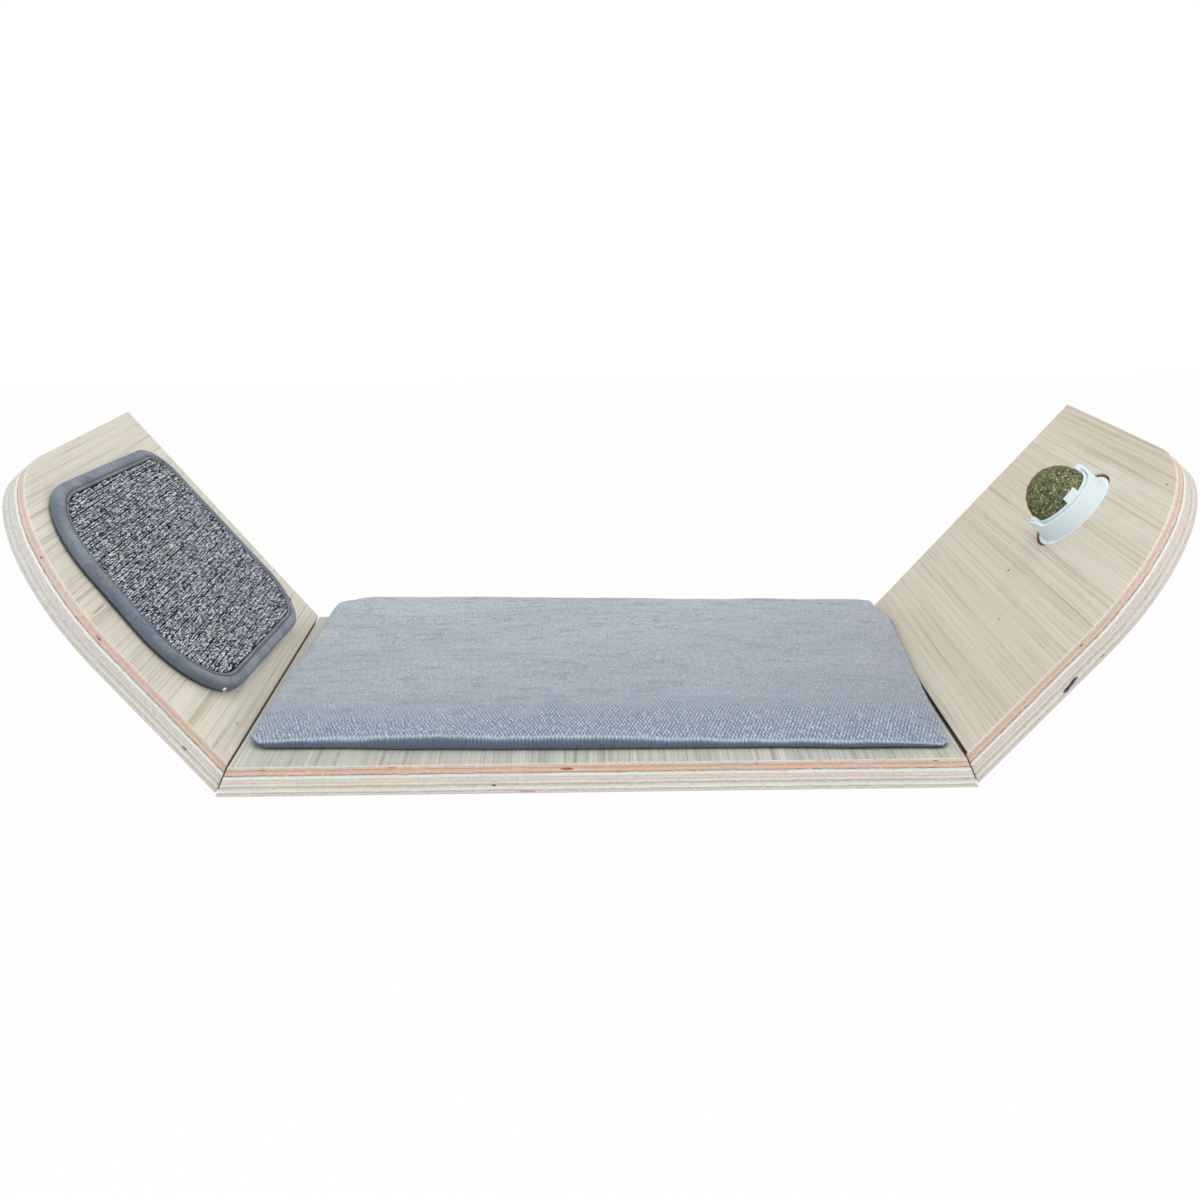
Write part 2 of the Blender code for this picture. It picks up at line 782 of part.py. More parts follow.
def boss_mesh():
    # Two short round bosses on the pivot, one at each end
    working = bmesh.new()
    inner = cover_inner_radius - ball_clearance / 2
    outer = cover_outer_radius + boss_rise
    for way in (-1, 1):
        middle = Matrix.Translation((way * (inner + outer) / 2, 0, 0))
        bmesh.ops.create_cone(
            working, cap_ends=True, segments=2 * hole_steps, radius1=boss_radius,
            radius2=boss_radius, depth=outer - inner,
            matrix=middle @ Matrix.Rotation(math.pi / 2, 4, "Y")
        )
    return mesh_from("pivot_bosses", working)


flip_cover = add_object("flip_cover", cover_mesh(), parts, dispenser, pivot_place, milky_plastic)
shell = flip_cover.modifiers.new("wall", "SOLIDIFY")
shell.thickness = cover_wall
shell.offset = -1
cut(flip_cover, add_object("tab", tab_mesh(), cutters, dispenser, pivot_place), "UNION")
cut(flip_cover, add_object("pivot_bosses", boss_mesh(), cutters, dispenser, pivot_place), "UNION")
cut(flip_cover, pivot_hole("cover_pivot_hole", dispenser, ball_height))
smooth(flip_cover)


# Ball and spindle

def ball_mesh():
    working = bmesh.new()
    bmesh.ops.create_icosphere(working, subdivisions=ball_subdivisions, radius=ball_radius)
    return mesh_from("catnip_ball", working)


def spindle_mesh():
    working = bmesh.new()
    bmesh.ops.create_cone(
        working, cap_ends=True, segments=hole_steps, radius1=spindle_radius, radius2=spindle_radius,
        depth=2 * collar_outer_radius, matrix=Matrix.Rotation(math.pi / 2, 4, "Y")
    )
    return mesh_from("ball_spindle", working)


catnip_ball = add_object("catnip_ball", ball_mesh(), parts, dispenser, pivot_place, catnip)
cut(catnip_ball, pivot_hole("ball_pivot_hole", dispenser, ball_height))
smooth(catnip_ball)
smooth(add_object("ball_spindle", spindle_mesh(), parts, dispenser, pivot_place, milky_plastic))


# Scratch mat: a backing, a woven pile and a cloth binding folded round the edge

def mat_outline(inset=0.0):
    corners = [(-up * left_wing_length, -out * wing_depth) for up, out in mat_corner_shares]
    radii = [share * left_wing_length for share in mat_radius_shares]
    return rounded_corners(corners, radii, inset)


def pin_places():
    # On the middle of each rounded corner, drawn in from the outline
    points = mat_outline(pin_inset)
    run = corner_steps + 1
    seat = mat_height + touch_gap
    middles = [points[index * run + corner_steps // 2] for index in range(len(mat_corner_shares))]
    return [Matrix.Translation((x, y, seat)) for x, y in middles]


def binding_profile():
    # A folded strip in section: across is the way in from the outline, up is the height
    low = touch_gap
    high = mat_height
    roll = binding_roll
    cloth = binding_cloth
    outside = [(binding_lap, low), (roll, low)]
    outside += [(roll - roll * math.sin(turn), low + roll - roll * math.cos(turn))
                for turn in (math.radians(45), math.radians(90))]
    outside += [(roll - roll * math.cos(turn), high - roll + roll * math.sin(turn))
                for turn in (0, math.radians(45), math.radians(90))]
    outside += [(binding_lap, high)]
    inside = [(binding_lap, high - cloth), (roll, high - cloth), (cloth, high - roll),
              (cloth, low + roll), (roll, low + cloth), (binding_lap, low + cloth)]
    return outside + inside


def binding_mesh(name):
    # The section follows the outline. Each ring of points is the outline drawn in to one point
    # of the section, so the lap keeps its width round the corners.
    rings = [(mat_outline(across), up) for across, up in binding_profile()]
    working = bmesh.new()
    loops = [[working.verts.new((x, y, up)) for x, y in points] for points, up in rings]
    count = len(loops[0])
    for index, loop in enumerate(loops):
        after = loops[(index + 1) % len(loops)]
        for step in range(count):
            ahead = (step + 1) % count
            working.faces.new((loop[step], loop[ahead], after[ahead], after[step]))
    return mesh_from(name, working)


pins = pin_places()
pin_holes = rod_cutter(
    "pin_holes", pin_hole_radius, mat_height + pin_depth + pilot_extra_depth, pins, pin_steps,
    wing_frames[-1]
)

binding = add_object(
    "scratch_mat_binding", binding_mesh("scratch_mat_binding"), parts, wing_frames[-1], None,
    slate_binding
)
cut(binding, pin_holes)
smooth(binding)

backing_inset = binding_cloth + touch_gap
backing_low = 2 * touch_gap + binding_cloth
backing_high = mat_height - binding_cloth - touch_gap
backing_mesh = plate("scratch_mat_backing", [mat_outline(backing_inset)], backing_high - backing_low)
backing_place = Matrix.Translation((0, 0, (backing_low + backing_high) / 2))
backing = add_object(
    "scratch_mat_backing", backing_mesh, parts, wing_frames[-1], backing_place, mat_backing
)
bevel(backing, binding_roll - binding_cloth, 1)
cut(backing, pin_holes)

pile_high = mat_height + mat_pile_rise
pile_low = backing_high + touch_gap
pile_mesh = plate("scratch_mat_pile", [mat_outline(binding_lap + touch_gap)], pile_high - pile_low)
pile_place = Matrix.Translation((0, 0, (pile_low + pile_high) / 2))
pile = add_object("scratch_mat_pile", pile_mesh, parts, wing_frames[-1], pile_place, woven_mat)
bevel(pile, mat_pile_round)
smooth(pile)

cut(left_wing_board, pin_holes)

pin_profile = [
    (0, pin_head_height),
    (pin_head_radius, pin_head_height / 2),
    (pin_head_radius, 0),
    (pin_shank_radius, 0),
    (pin_shank_radius, pin_shank_radius - mat_height - pin_depth),
    (0, -mat_height - pin_depth),
]
pin_mesh = turned("scratch_mat_pin", pin_profile, pin_steps)
add_copies("scratch_mat_pin", pin_mesh, pins, wing_frames[-1], zinc_steel)


# Hook and loop strips between the seat board and the cushion

def strip_places(height):
    return [Matrix.Translation((across * seat_width / 2, -out * seat_depth, height))
            for across, out in strip_place_shares]


strip_outline = rounded_rectangle(strip_length, strip_width, strip_corner, strip_corner_steps)
strip_mesh = plate("strip", [strip_outline], strip_thickness)
hook_height = board_top + touch_gap + strip_thickness / 2
loop_height = hook_height + strip_thickness + touch_gap
add_copies("hook_strip", strip_mesh, strip_places(hook_height), lounge, strip_cloth)
add_copies("loop_strip", strip_mesh, strip_places(loop_height), lounge, strip_cloth)


# Seat cushion: a coarse cage with a crown, drawn-in sides and a back that stands higher,
# smoothed by subdivision. Its right side leans over the wing, and its underside is hollow
# over the strips.

def cushion_point(across, out, up):
    # across runs from -1 to 1, out from 0 at the wall to 1 at the front, up from 0 to 1
    half = seat_width / 2 - cushion_side_inset
    depth = seat_depth - cushion_back_inset - cushion_front_inset + across * cushion_front_skew
    on_side = abs(across) == 1
    on_end = out in (0, 1)
    rim = on_side or on_end
    x = across * half
    y = -cushion_back_inset - out * depth
    outward = math.copysign(1, out - 0.5)
    if across < 0:
        x -= across * cushion_wall_draw * (1 - out)
    if on_side:
        x -= math.copysign(cushion_side_draw, across) * 4 * out * (1 - out)
    if on_end:
        y += outward * cushion_side_draw * (1 - across ** 2)
    if on_side and on_end:
        x -= math.copysign(cushion_corner_draw, across)
        y += outward * cushion_corner_draw
    if up == 0.5 and on_side:
        x += math.copysign(cushion_side_bulge, across)
    if up == 0.5 and on_end:
        y -= outward * cushion_side_bulge
    top = cushion_edge_height if rim else cushion_height
    top += cushion_back_rise * (1 - out) ** 2
    under = touch_gap if rim else cushion_hollow
    height = under + (top - under) * up
    if across > 0:
        x += cushion_wing_lap * across ** cushion_lap_power * (1 - out) * up
        wing_surface = (x - seat_width / 2) * math.tan(right_wing_tilt)
        height = max(height, wing_surface + cushion_wing_clearance / math.cos(right_wing_tilt))
    return Vector((x, y, height))


def cushion_mesh():
    working = bmesh.new()
    bmesh.ops.create_cube(working, size=1)
    planes = [(Vector((share / 2, 0, 0)), Vector((1, 0, 0))) for share in cushion_column_shares]
    planes += [(Vector((0, share - 0.5, 0)), Vector((0, 1, 0))) for share in cushion_row_shares]
    planes += [(Vector((0, 0, 0)), Vector((0, 0, 1)))]
    for point, normal in planes:
        everything = working.verts[:] + working.edges[:] + working.faces[:]
        bmesh.ops.bisect_plane(
            working, geom=everything, dist=weld_distance, plane_co=point, plane_no=normal
        )
    for vertex in working.verts:
        vertex.co = cushion_point(2 * vertex.co.x, vertex.co.y + 0.5, vertex.co.z + 0.5)
    return mesh_from("seat_cushion", working)


cushion_place = Matrix.Translation((0, 0, board_top))
cushion = add_object("seat_cushion", cushion_mesh(), parts, lounge, cushion_place, grey_cloth)
soft = cushion.modifiers.new("soft", "SUBSURF")
soft.levels = 2
soft.render_levels = 2
smooth(cushion)
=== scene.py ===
import math
import random

import bmesh
import bpy
import numpy as np
from mathutils import Matrix, Vector, noise


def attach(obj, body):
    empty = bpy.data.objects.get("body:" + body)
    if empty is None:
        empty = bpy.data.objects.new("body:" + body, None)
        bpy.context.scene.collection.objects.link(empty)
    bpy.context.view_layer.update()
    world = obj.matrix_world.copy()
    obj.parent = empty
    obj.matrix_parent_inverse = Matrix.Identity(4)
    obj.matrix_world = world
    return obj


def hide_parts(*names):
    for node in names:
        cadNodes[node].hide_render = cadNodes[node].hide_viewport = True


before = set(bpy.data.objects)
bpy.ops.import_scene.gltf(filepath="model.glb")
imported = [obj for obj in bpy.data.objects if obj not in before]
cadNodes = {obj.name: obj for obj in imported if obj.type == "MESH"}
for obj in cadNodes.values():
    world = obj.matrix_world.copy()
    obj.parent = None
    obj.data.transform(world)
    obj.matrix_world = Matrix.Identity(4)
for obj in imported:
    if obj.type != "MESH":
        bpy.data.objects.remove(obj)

scene = bpy.context.scene
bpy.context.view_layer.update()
print("packed model loaded,", len(cadNodes), "nodes")

# The boards' sizes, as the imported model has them
lounge = {
    "seatWidth": 0.350,
    "boardThickness": 0.0156,
    "boardTop": 0.0078,
    "wingDepth": 0.254,
    "leftTilt": math.radians(50.5),
    "rightTilt": math.radians(48.0),
    "leftLength": 0.171,
    "rightLength": 0.1745,
}


def wingPlace(side):
    # The wing's own frame: x away from the seat on the right, towards it on the left, z out of the face
    tilt = lounge["rightTilt"] if side > 0 else lounge["leftTilt"]
    hinge = Matrix.Translation((side * lounge["seatWidth"] / 2, 0, lounge["boardTop"]))
    return hinge @ Matrix.Rotation(-side * tilt, 4, "Y")


# Small tools

def paint(red, green, blue):
    # A colour from 0 to 255 as the shader wants it
    def linear(value):
        value /= 255
        return value / 12.92 if value <= 0.04045 else ((value + 0.055) / 1.055) ** 2.4
    return (linear(red), linear(green), linear(blue), 1.0)


def addNode(tree, kind, inputs=None, **settings):
    node = tree.nodes.new(kind)
    for key, value in settings.items():
        setattr(node, key, value)
    for key, value in (inputs or {}).items():
        if isinstance(value, bpy.types.NodeSocket):
            tree.links.new(value, node.inputs[key])
        else:
            node.inputs[key].default_value = value
    return node


def put(kind, inputs, output=0, **settings):
    # Adds a node to the tree that its inputs come from, and returns one of its outputs
    tree = next(value.id_data for value in inputs.values() if isinstance(value, bpy.types.NodeSocket))
    return addNode(tree, kind, inputs, **settings).outputs[output]


def calc(operation, first, second=0.0):
    return put("ShaderNodeMath", {0: first, 1: second}, operation=operation)


def times(first, second):
    return calc("MULTIPLY", first, second)


def plus(first, second):
    return calc("ADD", first, second)


def minus(first, second):
    return calc("SUBTRACT", first, second)


def vectorOf(*parts):
    return put("ShaderNodeCombineXYZ", dict(enumerate(parts)))


def vectorCalc(operation, first, second):
    return put("ShaderNodeVectorMath", {0: first, 1: second}, operation=operation)


def remap(value, low, high, toLow=0.0, toHigh=1.0):
    return put("ShaderNodeMapRange", {0: value, 1: low, 2: high, 3: toLow, 4: toHigh})


def mixed(share, first, second):
    # Either side may be an output or a colour from 0 to 255
    sides = [paint(*side) if isinstance(side, tuple) else side for side in (first, second)]
    return put("ShaderNodeMix", {0: share, 6: sides[0], 7: sides[1]}, 2, data_type="RGBA")


def tints(base, *layers):
    # Each layer is a mask, its values for none and for the most, that most and a colour
    for mask, low, high, most, colour in layers:
        base = mixed(remap(mask, low, high, 0.0, most), base, colour)
    return base


def ramp(share, stops):
    # Each stop is a place and then a colour from 0 to 255, or one grey from 0 to 1
    node = addNode(share.id_data, "ShaderNodeValToRGB", {0: share})
    elements = node.color_ramp.elements
    elements.remove(elements[1])
    for number, (position, *colour) in enumerate(stops):
        element = elements.new(position) if number else elements[0]
        element.position = position
        element.color = paint(*colour) if len(colour) == 3 else (*colour * 3, 1)
    return node.outputs[0]


def grain(vector, scale, detail=2.0, roughness=0.5):
    inputs = {"Vector": vector, "Scale": scale, "Detail": detail, "Roughness": roughness}
    return put("ShaderNodeTexNoise", inputs)


def streaks(vector, scale, detail=3.0, roughness=0.6, shift=(0, 0, 0)):
    # Noise with its own scale along each axis
    place = put("ShaderNodeMapping", {"Vector": vector, "Scale": scale, "Location": shift})
    return grain(place, 1.0, detail, roughness)


def axesOf(vector):
    return addNode(vector.id_data, "ShaderNodeSeparateXYZ", {0: vector}).outputs


def noted(material, name):
    # What the mesh carries under that name
    return addNode(material.node_tree, "ShaderNodeAttribute", attribute_name=name).outputs["Fac"]


def newMaterial(name, roughness=0.5, specular=0.5, sockets=None):
    material = bpy.data.materials.new(name)
    material.use_nodes = True
    tree = material.node_tree
    for socket, value in {"Roughness": roughness, "Specular IOR Level": specular, **(sockets or {})}.items():
        tree.nodes["Principled BSDF"].inputs[socket].default_value = value
    return material, addNode(tree, "ShaderNodeTexCoord").outputs["Object"]


def dressed(material, colour, height, distance, strength, roughness=None):
    # Wires a finished pattern to the material's shader
    tree = material.node_tree
    shader = tree.nodes["Principled BSDF"]
    tree.links.new(colour, shader.inputs["Base Color"])
    if roughness is not None:
        tree.links.new(roughness, shader.inputs["Roughness"])
    bump = put("ShaderNodeBump", {"Height": height, "Distance": distance, "Strength": strength})
    tree.links.new(bump, shader.inputs["Normal"])
    return material


def plainMaterial(name, roughness, specular, noiseShape, stops, distance, strength):
    # Tones and relief from one noise, which has a scale, a detail and perhaps a roughness
    material, place = newMaterial(name, roughness, specular)
    pattern = grain(place, *noiseShape)
    return dressed(material, ramp(pattern, stops), pattern, distance, strength)


def cover(mesh, material):
    mesh.materials.clear()
    mesh.materials.append(material)


def link(name, data, material=None):
    made = bpy.data.objects.new(name, data)
    scene.collection.objects.link(made)
    if material is not None:
        cover(data, material)
    return made


def meshOf(name, working, fixNormals=True):
    mesh = bpy.data.meshes.new(name)
    if fixNormals:
        bmesh.ops.recalc_face_normals(working, faces=working.faces)
    working.to_mesh(mesh)
    working.free()
    return mesh


def liveMesh(made, name):
    # What an object looks like with its modifiers, as a mesh of its own
    bpy.context.view_layer.update()
    graph = bpy.context.evaluated_depsgraph_get()
    mesh = bpy.data.meshes.new_from_object(made.evaluated_get(graph))
    mesh.name = name
    return mesh


def bake(made):
    # Applies what is live on an object and leaves it with a plain mesh
    mesh = liveMesh(made, made.name)
    made.modifiers.clear()
    made.data = mesh
    return made


def smooth(made, angle=35):
    made.data.shade_smooth()
    made.data.set_sharp_from_angle(angle=math.radians(angle))
    return made


def evenShading(made):
    # Keeps broad faces flat beside their rounded edges
    made.modifiers.new("even", "WEIGHTED_NORMAL").keep_sharp = True
    return bake(made)


def settle(made, body, slot, *stoodFor):
    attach(made, body)
    if stoodFor:
        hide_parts(*stoodFor)
    return made


def softenEdges(made, width, angle=42, miter="MITER_ARC"):
    softener = made.modifiers.new("soften", "BEVEL")
    softener.width, softener.segments = width, 2
    softener.limit_method, softener.angle_limit = "ANGLE", math.radians(angle)
    softener.miter_outer = miter
    return bake(made)


def joinFlats(mesh, distance, angle):
    # Welds the points and makes one face of neighbours that lie flat
    working = bmesh.new()
    working.from_mesh(mesh)
    bmesh.ops.remove_doubles(working, verts=working.verts, dist=distance)
    bmesh.ops.dissolve_limit(
        working, angle_limit=math.radians(angle), verts=working.verts, edges=working.edges
    )
    working.to_mesh(mesh)
    working.free()


def mergedCopy(node, name, material, edgeRound):
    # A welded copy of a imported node, with its edges softened and its round faces smooth
    mesh = cadNodes[node].data.copy()
    for attribute in [a for a in mesh.attributes if a.name == "custom_normal"]:
        mesh.attributes.remove(attribute)
    joinFlats(mesh, 0.00002, 0.5)
    made = softenEdges(link(name, mesh, material), edgeRound, 40, "MITER_SHARP")
    return evenShading(smooth(made))


def ringAbout(working, radius, height, steps):
    # A ring about z, or a single point where the radius is zero
    if radius == 0:
        return [working.verts.new((0, 0, height))]
    turns = [2 * math.pi * k / steps for k in range(steps)]
    return [working.verts.new((radius * math.cos(t), radius * math.sin(t), height)) for t in turns]


def joinRings(working, rings):
    steps = max(len(ring) for ring in rings)
    for low, high in zip(rings, rings[1:]):
        for k in range(steps):
            n = (k + 1) % steps
            corners = [low[k % len(low)], low[n % len(low)], high[n % len(high)], high[k % len(high)]]
            working.faces.new(list(dict.fromkeys(corners)))


def turned(name, profile, steps):
    # Radius and height pairs turned about z
    working = bmesh.new()
    joinRings(working, [ringAbout(working, *point, steps) for point in profile])
    return meshOf(name, working)


def layered(name, rings):
    # Closed skin through outlines of equal length, each with its height
    working = bmesh.new()
    loops = [[working.verts.new((x, y, up)) for x, y in outline] for outline, up in rings]
    joinRings(working, loops)
    working.faces.new(loops[0][::-1])
    working.faces.new(loops[-1])
    return meshOf(name, working)


def sinOf(degrees):
    return math.sin(math.radians(degrees))


def cosOf(degrees):
    return math.cos(math.radians(degrees))


def arc(middle, radius, start, end, steps):
    turns = [start + (end - start) * k / steps for k in range(steps + 1)]
    return [(middle[0] + radius * math.cos(t), middle[1] + radius * math.sin(t)) for t in turns]


def slab(name, outline, low, high):
    # A flat piece with that outline between two heights
    working = bmesh.new()
    bottom, top = [[working.verts.new((x, y, up)) for x, y in outline] for up in (low, high)]
    working.faces.new(bottom[::-1])
    working.faces.new(top)
    joinRings(working, [bottom, top])
    return meshOf(name, working)


def rectangle(reachX, reachY):
    return [(-reachX, -reachY), (reachX, -reachY), (reachX, reachY), (-reachX, reachY)]


def carve(made, cutter, operation="DIFFERENCE"):
    modifier = made.modifiers.new("carve", "BOOLEAN")
    modifier.operation, modifier.solver, modifier.object = operation, "EXACT", cutter
    bake(made)
    bpy.data.objects.remove(cutter, do_unlink=True)
    return made


def newTree(name, inputs):
    tree = bpy.data.node_groups.new(name, "GeometryNodeTree")
    for label, kind in {"Geometry": "Geometry", **inputs}.items():
        tree.interface.new_socket(label, in_out="INPUT", socket_type="NodeSocket" + kind)
    tree.interface.new_socket("Geometry", in_out="OUTPUT", socket_type="NodeSocketGeometry")
    return tree, tree.nodes.new("NodeGroupInput").outputs


def chance(seed, low, high):
    # A random vector for each point
    return put("FunctionNodeRandomValue", {0: low, 1: high, "Seed": seed}, data_type="FLOAT_VECTOR")


def instanced(points, shape, turn, size=(1, 1, 1)):
    inputs = {"Points": points, "Instance": shape, "Rotation": turn, "Scale": size}
    return put("GeometryNodeInstanceOnPoints", inputs)


def noteTone(geometry, name, seed, low=0.0):
    # Gives each instance a random tone for its material to read
    tone = put("FunctionNodeRandomValue", {2: low, "Seed": seed}, 1, data_type="FLOAT")
    inputs = {"Geometry": geometry, "Name": name, "Value": tone}
    return put("GeometryNodeStoreNamedAttribute", inputs, data_type="FLOAT", domain="INSTANCE")


def closeTree(geometry, material, isSmooth=True):
    geometry = put("GeometryNodeRealizeInstances", {0: geometry})
    if isSmooth:
        geometry = put("GeometryNodeSetShadeSmooth", {0: geometry})
    geometry = put("GeometryNodeSetMaterial", {"Geometry": geometry, "Material": material})
    addNode(geometry.id_data, "NodeGroupOutput", {0: geometry})
    return geometry.id_data


def grow(source, tree, values, name):
    # Runs a tree on a source object and returns its result as a plain piece
    modifier = source.modifiers.new("grow", "NODES")
    modifier.node_group = tree
    for item in tree.interface.items_tree:
        if item.in_out == "INPUT" and item.name in values:
            modifier[item.identifier] = values[item.name]
    mesh = liveMesh(source, name)
    bpy.data.objects.remove(source, do_unlink=True)
    return link(name, mesh)


# Camera, at the photograph's angle

cameraSetup = {"place": (-0.00163, -0.93523, 0.27275), "turn": (74.670, 0.613, -0.477), "lens": 45.9}

camera = link("camera", bpy.data.cameras.new("camera"))
camera.location = cameraSetup["place"]
camera.rotation_euler = [math.radians(angle) for angle in cameraSetup["turn"]]
camera.data.lens = cameraSetup["lens"]
camera.data.clip_start = 0.01
scene.camera = camera


# Studio: a pale floor well below the hanging seat, big soft lamps and an even sky

studio = {
    "floorHeight": -0.60,
    "floorReach": 6.0,
    "floorGlow": 0.97,  # how white the floor is where it is seen, so only a faint shadow is left
    "skyStrength": 0.62,
    "skyColour": (0.96, 0.98, 1.0, 1.0),
    "lamps": {
        "keyLamp": {"place": (-0.7, -1.3, 1.5), "size": 1.5, "power": 12.0},
        "fillLamp": {"place": (1.2, -1.0, 0.9), "size": 1.3, "power": 6.0},
        "topLamp": {"place": (0.1, 0.1, 1.7), "size": 1.4, "power": 7.0},
    },
}


def seenBackground(tree):
    # 1 where the background itself is seen: straight, in a reflection, or through something clear
    path = addNode(tree, "ShaderNodeLightPath").outputs
    seen = calc("MAXIMUM", path["Is Camera Ray"], path["Is Glossy Ray"])
    return calc("MAXIMUM", seen, path["Is Transmission Ray"])


def makeStudio():
    world = bpy.data.worlds.new("studioSky")
    scene.world = world
    world.use_nodes = True
    tree = world.node_tree
    tree.nodes.clear()
    sky = addNode(tree, "ShaderNodeBackground", {0: studio["skyColour"], 1: studio["skyStrength"]})
    white = addNode(tree, "ShaderNodeBackground", {0: (1, 1, 1, 1), 1: 1.0})
    shaders = {0: seenBackground(tree), 1: sky.outputs[0], 2: white.outputs[0]}
    addNode(tree, "ShaderNodeOutputWorld", {0: put("ShaderNodeMixShader", shaders)})

    material, place = newMaterial("paleFloor", 0.9, 0.2)
    tree = material.node_tree
    shader = tree.nodes["Principled BSDF"]
    tone = ramp(grain(place, 3.0), [(0.3, 0.90), (0.7, 0.93)])
    tree.links.new(tone, shader.inputs["Base Color"])
    glow = addNode(tree, "ShaderNodeEmission", {0: (1, 1, 1, 1), 1: 1.0})
    share = times(seenBackground(tree), studio["floorGlow"])
    mix = put("ShaderNodeMixShader", {0: share, 1: shader.outputs[0], 2: glow.outputs[0]})
    output = next(node for node in tree.nodes if node.type == "OUTPUT_MATERIAL")
    tree.links.new(mix, output.inputs[0])
    outline = rectangle(studio["floorReach"], studio["floorReach"])
    top = studio["floorHeight"]
    floor = link("floor", slab("floor", outline, top - 0.01, top), material)

    for name, lamp in studio["lamps"].items():
        light = bpy.data.lights.new(name, "AREA")
        light.size, light.energy = lamp["size"], lamp["power"]
        made = link(name, light)
        made.location = lamp["place"]
        aim = Vector((0, -0.12, 0.04)) - made.location
        made.rotation_euler = aim.to_track_quat("-Z", "Y").to_euler()


makeStudio()
scene.view_settings.view_transform = "Standard"
print("camera and studio ready")


# Plywood: straight face veneer along the depth, and a stack of plies that shows on every edge

plywood = {
    "plies": [  # share of the thickness down from the upper face, and the ply's colour
        # The top ply is near white: partly the veneer's own colour, partly a painted highlight along the
        # arris
        (0.000, 244, 238, 223), (0.045, 242, 235, 220),
        (0.065, 218, 204, 190), (0.130, 214, 196, 180),
        (0.152, 192, 150, 132), (0.180, 222, 180, 154),
        (0.235, 234, 192, 164), (0.290, 226, 186, 162),
        (0.315, 138, 128, 116), (0.338, 214, 212, 202),
        (0.370, 247, 247, 241), (0.430, 238, 239, 231),
        (0.460, 204, 204, 192), (0.490, 226, 219, 207),
        (0.540, 232, 220, 208), (0.565, 214, 191, 177),
        (0.592, 234, 225, 213), (0.640, 240, 234, 223),
        (0.670, 202, 197, 185), (0.694, 184, 180, 168),
        (0.720, 216, 216, 204), (0.775, 224, 225, 214),
        (0.800, 243, 243, 236), (0.850, 240, 239, 230),
        (0.872, 192, 186, 176), (0.898, 210, 202, 192),
        (0.930, 230, 221, 211), (0.975, 222, 212, 202),
        (1.000, 186, 148, 140),
    ],
    "poreColour": (150, 136, 112),
    "glueColour": (96, 84, 72),
    # The pocket's wall: partly burnt by the cutter, partly painted shade in the recess
    "pocketColour": (206, 128, 86),
    "scorchColour": (140, 74, 48),
    # painted shade for the open mitres
    "mitreColour": (8, 7, 7),
    "edgeRound": 0.00040,
}
boardLooks = {
    "seat": {
        # The seat's face is darker and greyer than the wings': partly its own veneer, partly painted shade
        # from the cushion
        "face": (180, 181, 171), "streak": (138, 137, 124), "band": (192, 191, 180), "shift": 0.31,
        "edgeWash": (214, 210, 200), "washShare": 0.0, "gap": 0.00080,
    },
    "left": {
        "face": (226, 220, 203), "streak": (168, 160, 141), "band": (211, 205, 189), "shift": 0.07,
        "edgeWash": (205, 206, 200), "washShare": 0.62, "gap": 0.00060,
    },
    "right": {
        "face": (219, 212, 195), "streak": (186, 168, 146), "band": (211, 198, 179), "shift": 0.83,
        "edgeWash": (209, 198, 188), "washShare": 0.52, "gap": 0.00145,
    },
}
# Knots and pitch marks: place and radii in the board's own frame, mm, then the colour
boardMarks = {
    "seat": [
        ((-14.5, -258, -3.3), (3.6, 3.0, 0.7), (158, 84, 70)),
        ((-49.2, -258, -11.1), (1.3, 3.0, 0.6), (74, 72, 82)),
        ((-97.2, -258, -1.6), (3.0, 3.0, 0.6), (190, 150, 124)),
        ((75.2, -258, -2.0), (1.4, 3.0, 0.5), (168, 136, 112)),
        ((160.2, -258, -1.7), (1.7, 3.0, 0.35), (112, 90, 76)),
        ((-159.0, -258, -2.2), (3.0, 3.0, 0.4), (176, 138, 112)),
        ((-33.5, -258, -14.4), (4.8, 3.0, 0.6), (200, 150, 136)),
    ],
    "left": [
        ((-157.0, -205, -12.8), (0.8, 3.0, 0.6), (74, 66, 58)),
        ((-129.0, -238, -3.0), (1.0, 3.0, 0.6), (92, 58, 50)),
        ((-84.0, -254, -3.1), (2.2, 3.0, 0.9), (186, 128, 108)),
        ((-83.2, -254, -3.3), (0.7, 3.0, 0.4), (96, 66, 56)),
        ((-19.1, -254, -10.6), (2.2, 3.0, 0.8), (122, 120, 112)),
        ((-96.4, -254, -9.1), (2.0, 3.0, 0.5), (170, 166, 156)),
        ((-7.0, -213.4, 0), (1.2, 2.6, 2.0), (176, 172, 152)),
        ((-93.8, -237, 0), (0.5, 12.0, 2.0), (172, 146, 126)),
    ],
    "right": [
        ((54.4, -254, -13.1), (3.0, 3.0, 1.0), (30, 20, 18)),
        ((57.2, -254, -12.8), (3.2, 3.0, 0.8), (24, 16, 14)),
        ((60.0, -254, -12.4), (2.6, 3.0, 0.9), (36, 24, 22)),
        ((74.2, -254, -2.4), (1.2, 3.0, 0.6), (140, 110, 90)),
        ((77.0, -254, -13.7), (1.6, 3.0, 0.5), (160, 138, 122)),
        ((88.5, -104.1, 0), (3.6, 5.0, 2.0), (220, 209, 176)),
        ((76.7, -125.7, 0), (0.8, 1.7, 2.0), (122, 104, 82)),
        ((54.8, -165.4, 0), (0.7, 1.5, 2.0), (150, 130, 102)),
        ((158.9, -198.1, 0), (0.7, 1.4, 2.0), (140, 122, 96)),
    ],
}


def marked(local, base, marks):
    # Paints each mark on the wood, with a ragged rim
    rim = grain(local, 900.0, 2.0)
    for place, radii, colour in marks:
        shifted = vectorCalc("SUBTRACT", local, [value / 1000 for value in place])
        scaled = vectorCalc("MULTIPLY", shifted, [1000 / value for value in radii])
        away = put("ShaderNodeVectorMath", {0: scaled}, 1, operation="LENGTH")
        ragged = plus(away, times(rim, 0.7))
        base = tints(base, (ragged, 1.32, 1.04, 0.90, colour))
    return base


